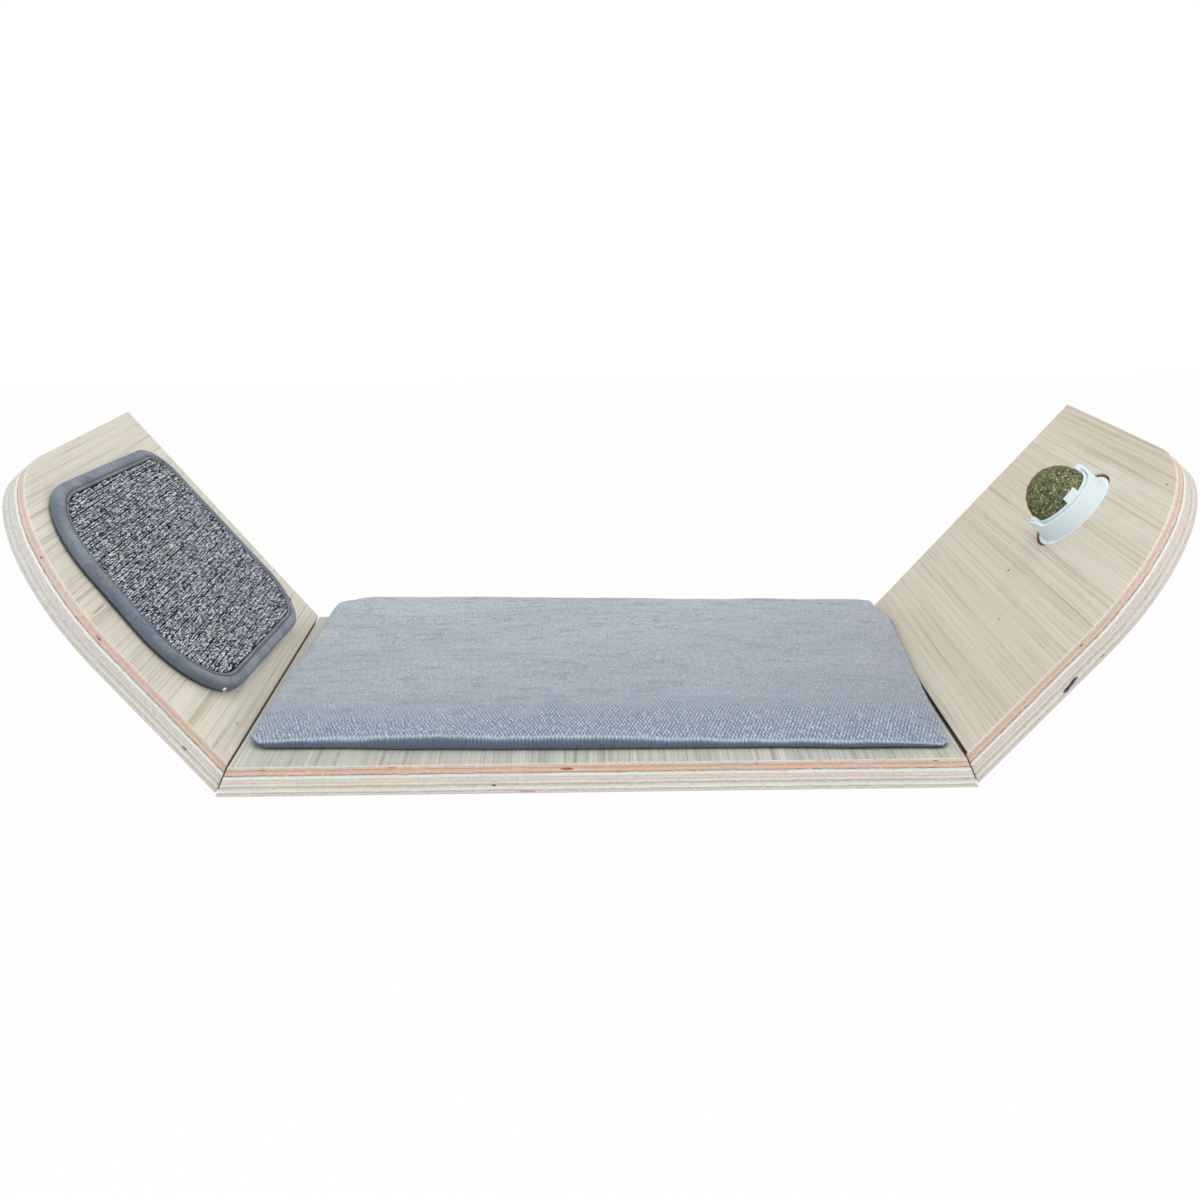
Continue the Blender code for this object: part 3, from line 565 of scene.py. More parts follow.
def plywoodMaterial(board, side):
    look = boardLooks[board]
    material, place = newMaterial(board + "Plywood", specular=0.35)
    matrix = wingPlace(side) if side else Matrix.Translation((0, 0, lounge["boardTop"]))
    inputs = {"Vector": place, "Location": matrix.to_translation(), "Rotation": matrix.to_euler()}
    local = put("ShaderNodeMapping", inputs, vector_type="TEXTURE")
    axes = axesOf(local)
    depthShare = calc("DIVIDE", times(axes[2], -1.0), lounge["boardThickness"])

    # Face veneer: lines run along y and wander a little across it
    shift = (look["shift"], look["shift"] * 2, 0)
    wander = streaks(local, (6, 7, 0), 1.0, 0.5, shift)
    across = plus(axes[0], times(minus(wander, 0.5), 0.0014))
    flow = vectorOf(across, axes[1], look["shift"])
    fineLines = streaks(flow, (900, 6, 1), 3.0, 0.65)
    midLines = streaks(flow, (430, 3, 1))
    broadBands = streaks(flow, (38, 2.2, 1), 2.0, 0.5)
    pores = streaks(flow, (1500, 90, 1), 2.0, 0.6)
    face = mixed(remap(broadBands, 0.38, 0.66), look["face"], look["band"])
    face = tints(face,
        (midLines, 0.53, 0.70, 0.68, look["streak"]),
        (midLines, 0.44, 0.30, 0.28, (234, 229, 215)),
        (fineLines, 0.54, 0.70, 0.58, look["streak"]),
        (fineLines, 0.44, 0.30, 0.42, (238, 233, 220)),
        (pores, 0.66, 0.76, 0.25, plywood["poreColour"]),
    )

    # Edge: the plies, wavy and streaked along the edge, with dark specks in the glue
    waver = times(minus(grain(local, 42.0, 2.0), 0.5), 0.055)
    ripple = times(minus(grain(local, 260.0, 2.0), 0.5), 0.030)
    wavyShare = plus(depthShare, plus(waver, ripple))
    plies = ramp(wavyShare, plywood["plies"])
    layers = streaks(local, (55, 55, 2600))
    calm = 1 - 0.7 * look["washShare"]
    along = streaks(local, (26, 26, 900))
    plies = tints(plies,
        (layers, 0.50, 0.74, 0.40 * calm, (192, 180, 168)),
        (layers, 0.44, 0.28, 0.45 * calm, (246, 243, 234)),
        (along, 0.52, 0.72, 0.45 * calm, (222, 178, 154)),
        (along, 0.46, 0.28, 0.40 * calm, (206, 208, 196)),
    )
    # The wings' plies fade away from the mitre, the pink one too
    fromMitre = calc("ABSOLUTE", axes[0])
    fade = times(remap(fromMitre, 0.012, 0.100, 0.35, 1.0), look["washShare"])
    plies = mixed(times(remap(wavyShare, 0.42, 0.50), fade), plies, look["edgeWash"])
    pinkShare = times(remap(wavyShare, 0.33, 0.27), times(fade, 0.85))
    plies = mixed(times(pinkShare, remap(wavyShare, 0.05, 0.09)), plies, (216, 200, 188))
    mottle = streaks(local, (480, 480, 900), 3.0, 0.7)
    plies = tints(plies,
        (mottle, 0.52, 0.70, 0.40, (186, 168, 156)),
        (mottle, 0.46, 0.30, 0.40, (246, 242, 236)),
    )
    specks = streaks(local, (420, 420, 900), 3.0, 0.65)
    glueBand = ramp(wavyShare, [
        (0.0, 0), (0.290, 0), (0.320, 1), (0.350, 0), (0.690, 0),
        (0.715, 0.4), (0.740, 0), (0.885, 0), (0.905, 0.5), (0.925, 0),
    ])
    glue = times(remap(specks, 0.47, 0.64, 0.0, 0.85), glueBand)
    plies = mixed(glue, plies, plywood["glueColour"])
    strayPits = times(remap(specks, 0.70, 0.78), 0.45)
    plies = mixed(strayPits, plies, plywood["glueColour"])

    # The face colour stops short of the arris, so the pale top ply shows there as that painted highlight
    faceMask = ramp(depthShare, [(0.0, 1), (0.018, 1), (0.034, 0), (0.965, 0), (0.985, 1)])
    wood = mixed(faceMask, plies, face)
    if board == "right":
        # Inside the pocket the wood is painted browner and darker: partly burnt by the cutter, partly painted
        # shade in the recess
        flat = vectorOf(axes[0], axes[1])
        middle = (catnipUnit["upSlope"], -catnipUnit["fromWall"], 0)
        away = put("ShaderNodeVectorMath", {0: flat, 1: middle}, 1, operation="DISTANCE")
        inside = times(remap(away, 0.0262, 0.0256), remap(depthShare, 0.03, 0.09))
        inside = times(inside, remap(depthShare, 0.84, 0.78))
        scorchAndShade = mixed(remap(layers, 0.3, 0.7), plywood["pocketColour"], plywood["scorchColour"])
        wood = mixed(times(inside, 0.85), wood, scorchAndShade)
    wood = marked(local, wood, boardMarks[board])
    # The open mitre: painted shade, black where two boards nearly meet, widest on the upper face
    half = (lounge["rightTilt"] if side > 0 else lounge["leftTilt"]) / 2
    outward = calc("ABSOLUTE", axes[0])
    if not side:
        outward = minus(lounge["seatWidth"] / 2, outward)
    toMitre = minus(outward, times(axes[2], math.tan(half)))
    reach = remap(depthShare, 0.02, 0.06, look["gap"], look["gap"] * 0.30)
    mitreShadeShare = calc("DIVIDE", minus(reach, toMitre), 0.00025)
    wood = tints(wood, (mitreShadeShare, 0.0, 1.0, 1.0, plywood["mitreColour"]))
    sheen = remap(midLines, 0.3, 0.7, 0.58, 0.74)
    faceHeight = minus(fineLines, times(remap(pores, 0.6, 0.75), 1.2))
    edgeHeight = minus(layers, glue)
    heights = mixed(faceMask, edgeHeight, faceHeight)
    return dressed(material, wood, heights, 0.00012, 0.7, sheen)


catnipUnit = {
    "upSlope": 0.706 * lounge["rightLength"],
    "fromWall": 0.508 * lounge["wingDepth"],
    "turn": math.radians(12.0),
    "pivotHeight": 0.0105,
    "ballRadius": 0.0165,
    "coverInner": 0.0172,
    "coverOuter": 0.0184,
    "collarInner": 0.0193,
    "collarOuter": 0.0206,
    "collarFoot": 0.0218,
    "flangeRadius": 0.0239,
    "flangeTop": -0.0015,
    "flangeThickness": 0.0013,
    "rimDrop": 0.0015,
    "cupBottom": -0.0102,
    "cupFloor": 0.0015,
    "earWidth": 0.0140,
    "earRise": 0.0040,
    "tabWidth": 0.0084,
    "tabRise": 0.0036,
    "bossRadius": 0.0032,
    "spindleHole": 0.0015,
    "spindleRadius": 0.0012,
    "spindleRound": 0.0003,
    "floorRound": 0.0021,
    "cupEdge": 0.00028,
    "coverEdge": 0.00022,
    "throughReach": 0.03,  # cutters are made this long, so that they go right through
    "turnSteps": 96,
}

for board, node, side in (
    ("seat", "seat_board", 0), ("left", "left_wing_board", -1), ("right", "right_wing_board", 1),
):
    made = mergedCopy(node, board + "Board", plywoodMaterial(board, side), plywood["edgeRound"])
    settle(made, "frame", "plywood", node)
print("boards ready")


# Seat cushion: a flat foam pad in woven cloth, blown up a little by a cloth simulation and
# curled up along the wall and over the right wing

cushion = {
    "sides": (-0.1722, 0.1722),
    "back": -0.0018,
    "fromWall": 0.0008,  # the least way from the wall, once it is puffed up
    "front": -0.2425,
    "cornerRadii": (0.0140, 0.0085, 0.0032, 0.0240),  # front left, front right, back right, back left
    # It lies a little askew. How far each side moves: the first two from back to front, the third
    # from left to right
    "leftDraw": (0.0092, 0.0071, 0.0048, 0.0018, 0.0014, 0.0007),
    "rightDraw": (-0.0046, 0.0014, 0.0014, 0.0006, -0.0006, -0.0026),
    "frontDraw": (0.0034, 0.0019, -0.0012, -0.0027, -0.0036, -0.0039, -0.0045, -0.0068, -0.0066),
    "foamHeight": 0.0060,
    "edgeRound": 0.0020,
    "underside": 0.0003,
    "edgeHeight": 0.0054,
    "frontHeights": (0.0038, 0.0056, 0.0072, 0.0073, 0.0070, 0.0056, 0.0042, 0.0036, 0.0020),
    "crownHeight": 0.0080,
    "crownReach": 0.045,
    "backRise": (0.0092, 0.0024),  # at the left and at the right
    "wingLap": 0.0095,
    "wingClearance": 0.0013,
    "leastClearance": 0.0011,
    "voxel": 0.0030,
    "pressure": 4.0,
    "growth": -0.012,  # the cloth is cut this much too large, so it ripples
    "mostMoved": 0.0011,
    "frames": 20,
    "stripRoom": 0.0026,
}
strips = {
    "size": (0.060, 0.020),
    "middles": ((-0.1085, -0.05676), (0.1085, -0.05676), (-0.1085, -0.18576), (0.1085, -0.18576)),
}


def roundedCorners(corners, radii, inset=0.0, steps=7):
    # A closed outline through convex corners, each rounded, then drawn in by the inset
    points = []
    for k, corner in enumerate(corners):
        corner = Vector(corner)
        before = (Vector(corners[k - 1]) - corner).normalized()
        after = (Vector(corners[(k + 1) % len(corners)]) - corner).normalized()
        half = before.angle(after) / 2
        middle = corner + (before + after).normalized() * (radii[k] / math.sin(half))
        first = corner + before * (radii[k] / math.tan(half)) - middle
        start = math.atan2(first.y, first.x)
        sweep = math.pi - 2 * half
        if before.cross(after) > 0:
            sweep = -sweep
        points += arc(middle, radii[k] - inset, start, start + sweep, steps)
    return points


def waves(x, y, z):
    return noise.noise(Vector((x, y, z)))


def easing(value, low, high):
    share = max(0.0, min(1.0, (value - low) / (high - low)))
    return share * share * (3 - 2 * share)


def foamPad():
    left, right = cushion["sides"]
    front, back, soft = cushion["front"], cushion["back"], cushion["edgeRound"]
    corners = [(left, front), (right, front), (right, back), (left, back)]
    top = cushion["foamHeight"] - soft
    levels = [(soft / 2, 0.0)]
    levels += [(soft * (1 - cosOf(t)), top + soft * sinOf(t)) for t in (0, 30, 60, 90)]
    return layered("foamPad", [
        (roundedCorners(corners, cushion["cornerRadii"], inset, 10), up) for inset, up in levels
    ])


def edgeDistance(x, y):
    left, right = cushion["sides"]
    return min(x - left, right - x, cushion["back"] - y, y - cushion["front"])


def alongSide(values, share):
    # A smooth value between those noted at even steps along a side
    spot = max(0.0, min(0.9999, share)) * (len(values) - 1)
    step = int(spot)
    return values[step] + (values[step + 1] - values[step]) * easing(spot - step, 0.0, 1.0)


def cushionPlace(point):
    # From the flat pad to the pad as it lies, above the seat board's face
    x, y, up = point
    share = max(0.0, min(1.0, up / cushion["foamHeight"]))
    out = (cushion["back"] - y) / (cushion["back"] - cushion["front"])
    across = (x - cushion["sides"][0]) / (cushion["sides"][1] - cushion["sides"][0])
    inner = edgeDistance(x, y)
    edge = cushion["edgeHeight"]
    edge += (alongSide(cushion["frontHeights"], across) - edge) * easing(out, 0.80, 1.0)
    height = edge + (cushion["crownHeight"] - edge) * easing(inner, 0.0, cushion["crownReach"])
    riseLeft, riseRight = cushion["backRise"]
    height += (riseLeft + (riseRight - riseLeft) * across) * max(0.0, 1 - out) ** 2.2
    height += 0.00045 * (waves(x * 21, y * 16, 0.4) + 0.5 * waves(x * 55, y * 38, 3.1))
    height += 0.00035 * waves(x * 75, 1.7, 9.0) * easing(out, 0.85, 1.0)
    low = rest = cushion["underside"]
    for middleX, middleY in strips["middles"]:
        beside = max(abs(x - middleX) - strips["size"][0] / 2, abs(y - middleY) - strips["size"][1] / 2)
        low = max(low, rest + (cushion["stripRoom"] - rest) * (1 - easing(beside, 0.001, 0.007)))
    z = low + (height - low) * share
    y += 0.0008 * math.sin(math.pi * across) * (1 - easing(out, 0.0, 0.2))
    x += (1 - across) * alongSide(cushion["leftDraw"], out) + across * alongSide(cushion["rightDraw"], out)
    y += out * alongSide(cushion["frontDraw"], across)
    side = 2 * across - 1
    if side > 0:
        x += cushion["wingLap"] * side ** 6 * (1 - out) * (0.35 + 0.65 * share)
        slope = math.tan(lounge["rightTilt"])
        floorHere = (x - lounge["seatWidth"] / 2) * slope
        floorHere += cushion["wingClearance"] / math.cos(lounge["rightTilt"])
        z = max(z, floorHere + 0.75 * z * easing(x, 0.171, 0.182))
    return Vector((x, y, z + lounge["boardTop"]))


def puffUp(made):
    # Cloth simulation: pressure from inside, no gravity, and no point moves further than the cap
    before = [vertex.co.copy() for vertex in made.data.vertices]
    cloth = made.modifiers.new("cloth", "CLOTH")
    settings = cloth.settings
    settings.quality = 4
    settings.mass = 0.2
    settings.tension_stiffness = settings.compression_stiffness = 18
    settings.bending_stiffness = 0.6
    settings.shrink_min = cushion["growth"]
    settings.use_pressure = True
    settings.uniform_pressure_force = cushion["pressure"]
    settings.effector_weights.gravity = 0
    cloth.collision_settings.use_collision = False
    cloth.point_cache.frame_start, cloth.point_cache.frame_end = 1, cushion["frames"]
    for number in range(1, cushion["frames"] + 1):
        scene.frame_set(number)
    bake(made)
    scene.frame_set(1)
    for vertex, rest in zip(made.data.vertices, before):
        moved = vertex.co - rest
        if moved.length > cushion["mostMoved"]:
            vertex.co = rest + moved * (cushion["mostMoved"] / moved.length)
    return made


def keepClear(made):
    # Keeps the underside off the board and the right side off the wing
    tilt, top = lounge["rightTilt"], lounge["boardTop"]
    for vertex in made.data.vertices:
        over = (vertex.co.x - lounge["seatWidth"] / 2) * math.tan(tilt)
        over += cushion["leastClearance"] / math.cos(tilt)
        vertex.co.z = max(vertex.co.z, top + cushion["underside"], over + top)
        vertex.co.y = min(vertex.co.y, -cushion["fromWall"])


def cushionMaterial():
    material, place = newMaterial("greyCloth", 0.92, 0.18, {
        "Sheen Weight": 0.22, "Sheen Roughness": 0.55, "Sheen Tint": paint(206, 210, 216),
    })
    axes = axesOf(place)
    clouds = streaks(place, (14, 40, 30))
    smudges = streaks(place, (70, 110, 60))
    specks = streaks(place, (820, 260, 640), 2.0, 0.6)
    fibres = streaks(place, (2100, 620, 1500), 3.0, 0.7)
    # Twill: light dots in slanting lines, plainest near the front where the nap is worn
    sway = times(streaks(place, (330, 120, 120), 2.0, 0.5), 7.0)
    warp = calc("SINE", plus(times(axes[0], 3500.0), sway))
    weft = calc("SINE", plus(times(axes[1], 1080.0), times(sway, 0.8)))
    weave = times(times(warp, weft), 1.3)
    weave = plus(weave, times(minus(specks, 0.5), 6.0))
    wearAndRimHighlight = remap(plus(axes[1], times(smudges, 0.09)), -0.146, -0.180)
    tone = ramp(clouds, [
        (0.30, 175, 182, 189), (0.45, 185, 191, 197), (0.58, 192, 198, 203), (0.72, 199, 204, 208),
    ])
    brushed = streaks(place, (60, 210, 90), 3.0, 0.65)
    tone = tints(tone,
        (brushed, 0.52, 0.68, 0.74, (146, 149, 158)),
        (brushed, 0.47, 0.30, 0.46, (198, 204, 209)),
    )
    shadeSide = minus(times(axes[0], 0.4), axes[1])
    tone = tints(tone, (shadeSide, -0.04, 0.28, 0.78, (140, 147, 159)))
    tone = mixed(times(wearAndRimHighlight, 0.50), tone, (114, 129, 148))
    tone = tints(tone,
        (specks, 0.53, 0.66, 0.50, (118, 125, 138)),
        (specks, 0.45, 0.32, 0.50, (210, 215, 220)),
        (fibres, 0.54, 0.72, 0.40, (112, 118, 130)),
    )
    darkThread = times(remap(weave, 0.1, -1.0), remap(wearAndRimHighlight, 0.0, 1.0, 0.10, 0.64))
    tone = mixed(darkThread, tone, (84, 100, 122))
    rimShade = noted(material, "rimShade")
    lightThread = times(remap(weave, 0.1, 1.1), remap(wearAndRimHighlight, 0.0, 1.0, 0.10, 0.68))
    lightThread = times(lightThread, remap(rimShade, 0.0, 0.6, 1.0, 0.15))
    tone = mixed(lightThread, tone, (206, 222, 238))
    rimLight = noted(material, "rimLight")
    # Painted shade on the pad's sides, then a painted highlight along its upper edge
    tone = mixed(times(rimShade, 0.78), tone, (90, 104, 122))
    tone = mixed(times(rimLight, 0.50), tone, (196, 212, 228))
    height = plus(times(weave, 0.4), plus(specks, fibres))
    return dressed(material, tone, height, 0.00030, 0.8)


def shadeRims(made):
    # Notes, for the material, where the pad's side is, which gets painted shade, and the line along its upper
    # edge, which gets a painted highlight
    mesh = made.data
    shade = mesh.attributes.new("rimShade", "FLOAT", "POINT")
    light = mesh.attributes.new("rimLight", "FLOAT", "POINT")
    for index, vertex in enumerate(mesh.vertices):
        lean = vertex.normal.z
        nearFront = easing(-vertex.co.y, 0.225, 0.238)
        shade.data[index].value = 1 - easing(lean, 0.10, 0.55)
        # The line along the upper edge, for the painted highlight
        wearAndRimHighlight = easing(lean, 0.45, 0.70) * (1 - easing(lean, 0.86, 0.985))
        light.data[index].value = wearAndRimHighlight * (0.35 + 0.65 * nearFront)


def makeCushion():
    pad = link("seatPad", foamPad())
    remesh = pad.modifiers.new("voxels", "REMESH")
    remesh.mode, remesh.voxel_size = "VOXEL", cushion["voxel"]
    bake(pad)
    for vertex in pad.data.vertices:
        vertex.co = cushionPlace(vertex.co)
    puffUp(pad)
    keepClear(pad)
    finer = pad.modifiers.new("finer", "SUBSURF")
    finer.levels = finer.render_levels = 1
    bake(pad)
    keepClear(pad)
    pad.data.update()
    pad.data.shade_smooth()
    shadeRims(pad)
    cover(pad.data, cushionMaterial())
    settle(pad, "cushion", "grey_cloth", "seat_cushion")
    print("cushion ready,", len(pad.data.polygons), "faces")


makeCushion()


# Scratch mat: a woven ground, near black both in its own colour and as painted shade between the
# loops, rows of yarn loops, a folded tape round the edge, its stitches and its four pins. All of it
# lies in the left wing's own frame.

mat = {
    "corners": [(-0.059, -0.108), (-0.854, -0.113), (-0.904, -0.855), (-0.117, -0.927)],
    "radii": [0.195, 0.149, 0.293, 0.293],
    "height": 0.0066,
    "lap": 0.0080,
    "roll": 0.0024,
    "tape": 0.0009,
    "seamInset": 0.0019,  # from the tape's inner edge
    "underside": 0.0003,
    "groundHeight": 0.0056,
    "groundThickness": 0.00014,
    "rowGaps": (0.0010, 0.0014),  # two lines of loops make a row, then comes a groove
    "loopStep": 0.00112,
    "missing": 0.12,
    "loops": {"Loop Radius": 0.00050, "Yarn Radius": 0.00036, "Loop Turn": 0.4},
    "stitches": {"Stitch Step": 0.0031, "Thread Radius": 0.00022, "Stitch Length": 0.0024},
    "seed": 7,
}
leftWing = wingPlace(-1)


def matOutline(inset=0.0, steps=12):
    corners = [(x * lounge["leftLength"], y * lounge["wingDepth"]) for x, y in mat["corners"]]
    radii = [share * lounge["leftLength"] for share in mat["radii"]]
    return roundedCorners(corners, radii, inset, steps)


def insideOutline(outline, x, y):
    inside = False
    for (x1, y1), (x2, y2) in zip(outline, outline[1:] + outline[:1]):
        if (y1 > y) != (y2 > y) and x < (x2 - x1) * (y - y1) / (y2 - y1) + x1:
            inside = not inside
    return inside


def loopTree():
    take = newTree("yarnLoops", {
        "Loop Radius": "Float", "Yarn Radius": "Float", "Loop Turn": "Float",
        "Seed": "Int", "Yarn": "Material",
    })[1]
    quarter, swing = math.pi / 2, take["Loop Turn"]
    bend = put("GeometryNodeCurveArc", {
        "Resolution": 5, "Radius": take["Loop Radius"], "Sweep Angle": math.pi,
    })
    upright = put("GeometryNodeTransform", {"Geometry": bend, "Rotation": (quarter, 0, 0)})
    ring = put("GeometryNodeCurvePrimitiveCircle", {"Resolution": 3, "Radius": take["Yarn Radius"]})
    yarn = put("GeometryNodeCurveToMesh", {"Curve": upright, "Profile Curve": ring, "Fill Caps": True})
    low = vectorOf(-0.35, -0.35, minus(quarter, swing))
    high = vectorOf(0.35, 0.35, plus(quarter, swing))
    turn = chance(take["Seed"], low, high)
    size = chance(plus(take["Seed"], 1), (0.80, 0.80, 1.00), (1.30, 1.30, 2.30))
    spread = instanced(take["Geometry"], yarn, turn, size)
    toned = noteTone(spread, "yarnTone", plus(take["Seed"], 2))
    return closeTree(toned, take["Yarn"])


def yarnMaterial():
    sheen = {"Sheen Weight": 0.12, "Sheen Roughness": 0.5}
    material, place = newMaterial("wovenYarn", 0.88, 0.25, sheen)
    tone = noted(material, "yarnTone")
    colour = ramp(tone, [
        (0.00, 36, 40, 52), (0.12, 74, 81, 96), (0.26, 132, 140, 156), (0.44, 178, 185, 199),
        (0.58, 164, 162, 152), (0.66, 208, 214, 225), (0.82, 236, 241, 249), (0.94, 254, 255, 255),
    ])
    strands = grain(place, 1700.0, 3.0, 0.7)
    colour = tints(colour,
        (strands, 0.54, 0.74, 0.35, (52, 58, 72)),
        (strands, 0.46, 0.30, 0.30, (218, 224, 234)),
    )
    patches = grain(place, 70.0, 3.0)
    colour = tints(colour, (patches, 0.56, 0.72, 0.40, (140, 134, 124)))
    return dressed(material, colour, strands, 0.00025, 0.8)


def makePile():
    outline = matOutline(mat["lap"] + 0.0003)
    high = mat["groundHeight"]
    # Near black: partly the ground's own colour, partly painted shade in the gaps between the loops
    tones = [(0.35, 15, 17, 23), (0.65, 44, 48, 58)]
    weave = plainMaterial("wovenGround", 0.95, 0.15, (900.0, 3.0, 0.7), tones, 0.0004, 1.0)
    skin = slab("scratchMatGround", outline, high - mat["groundThickness"], high)
    ground = link("scratchMatGround", skin, weave)
    ground.data.transform(leftWing)
    settle(ground, "frame", "woven_mat", "scratch_mat_pile")
    rng = random.Random(mat["seed"])
    area = matOutline(mat["lap"] + 0.0008)
    lowX, highX = min(x for x, y in area), max(x for x, y in area)
    lowY, highY = min(y for x, y in area), max(y for x, y in area)
    bands = {"scratchMatLoops" + part: bmesh.new() for part in ("Upper", "Middle", "Lower")}
    row, x = 0, lowX
    while x < highX:
        points = list(bands.values())[min(2, int(3 * (x - lowX) / (highX - lowX)))]
        bend = 0.0003 * math.sin(row * 0.9)
        y = lowY + mat["loopStep"] * (row % 2) / 2
        while y < highY:
            spot = (x + bend * math.sin(y * 60) + rng.gauss(0, 0.00012), y + rng.gauss(0, 0.00020))
            if insideOutline(area, *spot) and rng.random() > mat["missing"]:
                points.verts.new((*spot, high + rng.uniform(-0.0002, 0.0001)))
            y += mat["loopStep"]
        x += mat["rowGaps"][row % 2]
        row += 1
    yarn = yarnMaterial()
    for number, (name, points) in enumerate(bands.items()):
        source = link("loopPoints", meshOf("loopPoints", points, False))
        values = {**mat["loops"], "Yarn": yarn, "Seed": mat["seed"] + number}
        loops = grow(source, loopTree(), values, name)
        loops.data.transform(leftWing)
        settle(loops, "frame", "woven_mat")
        print("mat loops ready,", len(loops.data.polygons), "faces")


makePile()


def tapeMaterial():
    material, place = newMaterial("slateTape", 0.86, 0.25, {
        "Sheen Weight": 0.18, "Sheen Roughness": 0.5, "Sheen Tint": paint(190, 200, 215),
    })
    clouds = grain(place, 60.0, 3.0, 0.6)
    lint = grain(place, 780.0, 4.0, 0.75)
    colour = ramp(clouds, [(0.32, 108, 114, 124), (0.52, 127, 133, 141), (0.70, 146, 150, 156)])
    colour = tints(colour,
        (lint, 0.53, 0.68, 0.5, (172, 179, 188)),
        (lint, 0.46, 0.32, 0.5, (84, 90, 104)),
    )
    # Painted shade on the tape's rolled side and in its seam grooves, and a painted shadow along its foot
    for part, most, shade in (
        ("Side", 0.55, (88, 103, 124)), ("Foot", 0.85, (34, 37, 42)), ("Seam", 0.6, (66, 68, 76)),
    ):
        colour = mixed(times(noted(material, "tape" + part), most), colour, shade)
    return dressed(material, colour, lint, 0.00020, 0.7)


def tapeSection():
    # The folded tape in section: the way in from the outline, the height, and how far it counts
    # as the tape's side, which gets painted shade, where 2 stands for the seam's painted shade
    # and 3 for the painted shadow along the foot
    roll, lap, high, cloth, low = (mat[key] for key in ("roll", "lap", "height", "tape", "underside"))
    outside = [(lap, low, 0), (roll, low, 0)]
    outside += [(roll - roll * sinOf(t), low + roll - roll * cosOf(t), 3 if t < 80 else 1)
                for t in (20, 40, 60, 80)]
    outside += [(0.0, (low + high) / 2, 1)]
    outside += [(roll - roll * cosOf(t), high - roll + roll * sinOf(t), 1 - t / 90)
                for t in (5, 20, 35, 50, 65, 80, 90)]
    seam = lap - mat["seamInset"]
    outside += [(across, high + up, kind) for across, up, kind in (
        (0.0036, 0.00012, 0), (seam - 0.0009, 0.00010, 0), (seam - 0.0004, -0.00028, 2),
        (seam, 0.00002, 0), (seam + 0.0004, -0.00028, 2), (seam + 0.0009, 0.00010, 0),
        (lap - 0.0004, 0.00002, 0), (lap, -0.0004, 2),
    )]
    inside = [
        (lap, high - cloth, 2), (roll, high - cloth, 0), (cloth, high - roll, 0),
        (cloth, low + roll, 0), (roll, low + cloth, 0), (lap, low + cloth, 0),
    ]
    return outside + inside


def makeTape():
    section = tapeSection()
    working = bmesh.new()
    side, seam, foot = (working.verts.layers.float.new(name) for name in ("tapeSide", "tapeSeam", "tapeFoot"))
    loops = []
    for across, up, kind in section:
        loop = []
        for x, y in matOutline(across, 26):
            swell = 0.00010 * waves(x * 90, y * 90, up * 60)
            vertex = working.verts.new((x, y, max(0.0002, up + swell)))
            vertex[side] = {2: 0.0, 3: 1.0}.get(kind, kind)
            vertex[seam] = float(kind == 2)
            vertex[foot] = float(kind == 3)
            loop.append(vertex)
        loops.append(loop)
    joinRings(working, loops + loops[:1])
    made = link("scratchMatBinding", meshOf("scratchMatBinding", working), tapeMaterial())
    made.data.transform(leftWing)
    made.data.shade_smooth()
    settle(made, "frame", "slate_binding", "scratch_mat_binding")


def stitchTree():
    tree, take = newTree("tapeStitches", {
        "Stitch Step": "Float", "Thread Radius": "Float", "Stitch Length": "Float", "Thread": "Material",
    })
    inputs = {"Curve": take["Geometry"], "Length": take["Stitch Step"]}
    spots = addNode(tree, "GeometryNodeCurveToPoints", inputs, mode="LENGTH").outputs
    bead = addNode(tree, "GeometryNodeMeshUVSphere", {"Segments": 6, "Rings": 5, "Radius": 1.0}).outputs[0]
    half, thick = times(take["Stitch Length"], 0.5), take["Thread Radius"]
    size = vectorOf(thick, thick, half)
    return closeTree(instanced(spots["Points"], bead, spots["Rotation"], size), take["Thread"])


def makeStitches():
    outline = matOutline(mat["lap"] - mat["seamInset"], 26)
    line = bpy.data.curves.new("seamLine", "CURVE")
    line.dimensions = "3D"
    spline = line.splines.new("POLY")
    spline.points.add(len(outline) - 1)
    for point, (x, y) in zip(spline.points, outline):
        point.co = (x, y, mat["height"] + 0.00004, 1)
    spline.use_cyclic_u = True
    source = link("seamLine", line)
    tones = [(0.35, 72, 74, 82), (0.65, 112, 114, 120)]
    thread = plainMaterial("tapeThread", 0.7, 0.3, (2600.0, 2.0), tones, 0.00015, 0.6)
    made = grow(source, stitchTree(), {**mat["stitches"], "Thread": thread}, "scratchMatStitches")
    made.data.transform(leftWing)
    settle(made, "frame", "slate_binding")


makeTape()
makeStitches()
print("mat tape and stitches ready")


# Catnip ball in its round holder. Local x is the pivot's axis, -y faces the thumb tab, z leaves the wing.

dispenserPlace = (
    wingPlace(1)
    @ Matrix.Translation((catnipUnit["upSlope"], -catnipUnit["fromWall"], 0))
    @ Matrix.Rotation(catnipUnit["turn"], 4, "Z")
)
pivotPlace = dispenserPlace @ Matrix.Translation((0, 0, catnipUnit["pivotHeight"]))


def milkyMaterial():
    # The faint bluish emission is painted light: the plastic glows a little, which lifts its shaded grooves
    material, place = newMaterial("milkyPlastic", specular=0.4, sockets={
        "IOR": 1.47, "Transmission Weight": 0.12, "Subsurface Weight": 0.35, "Subsurface Scale": 0.003,
        "Emission Color": paint(206, 226, 236), "Emission Strength": 0.10,
    })
    haze = grain(place, 140.0, 3.0, 0.6)
    tone = ramp(haze, [(0.30, 228, 239, 244), (0.70, 240, 247, 250)])
    scuffs = streaks(place, (900, 260, 900))
    return dressed(material, tone, scuffs, 0.00004, 0.5, remap(scuffs, 0.3, 0.7, 0.26, 0.42))


milkyPlastic = milkyMaterial()


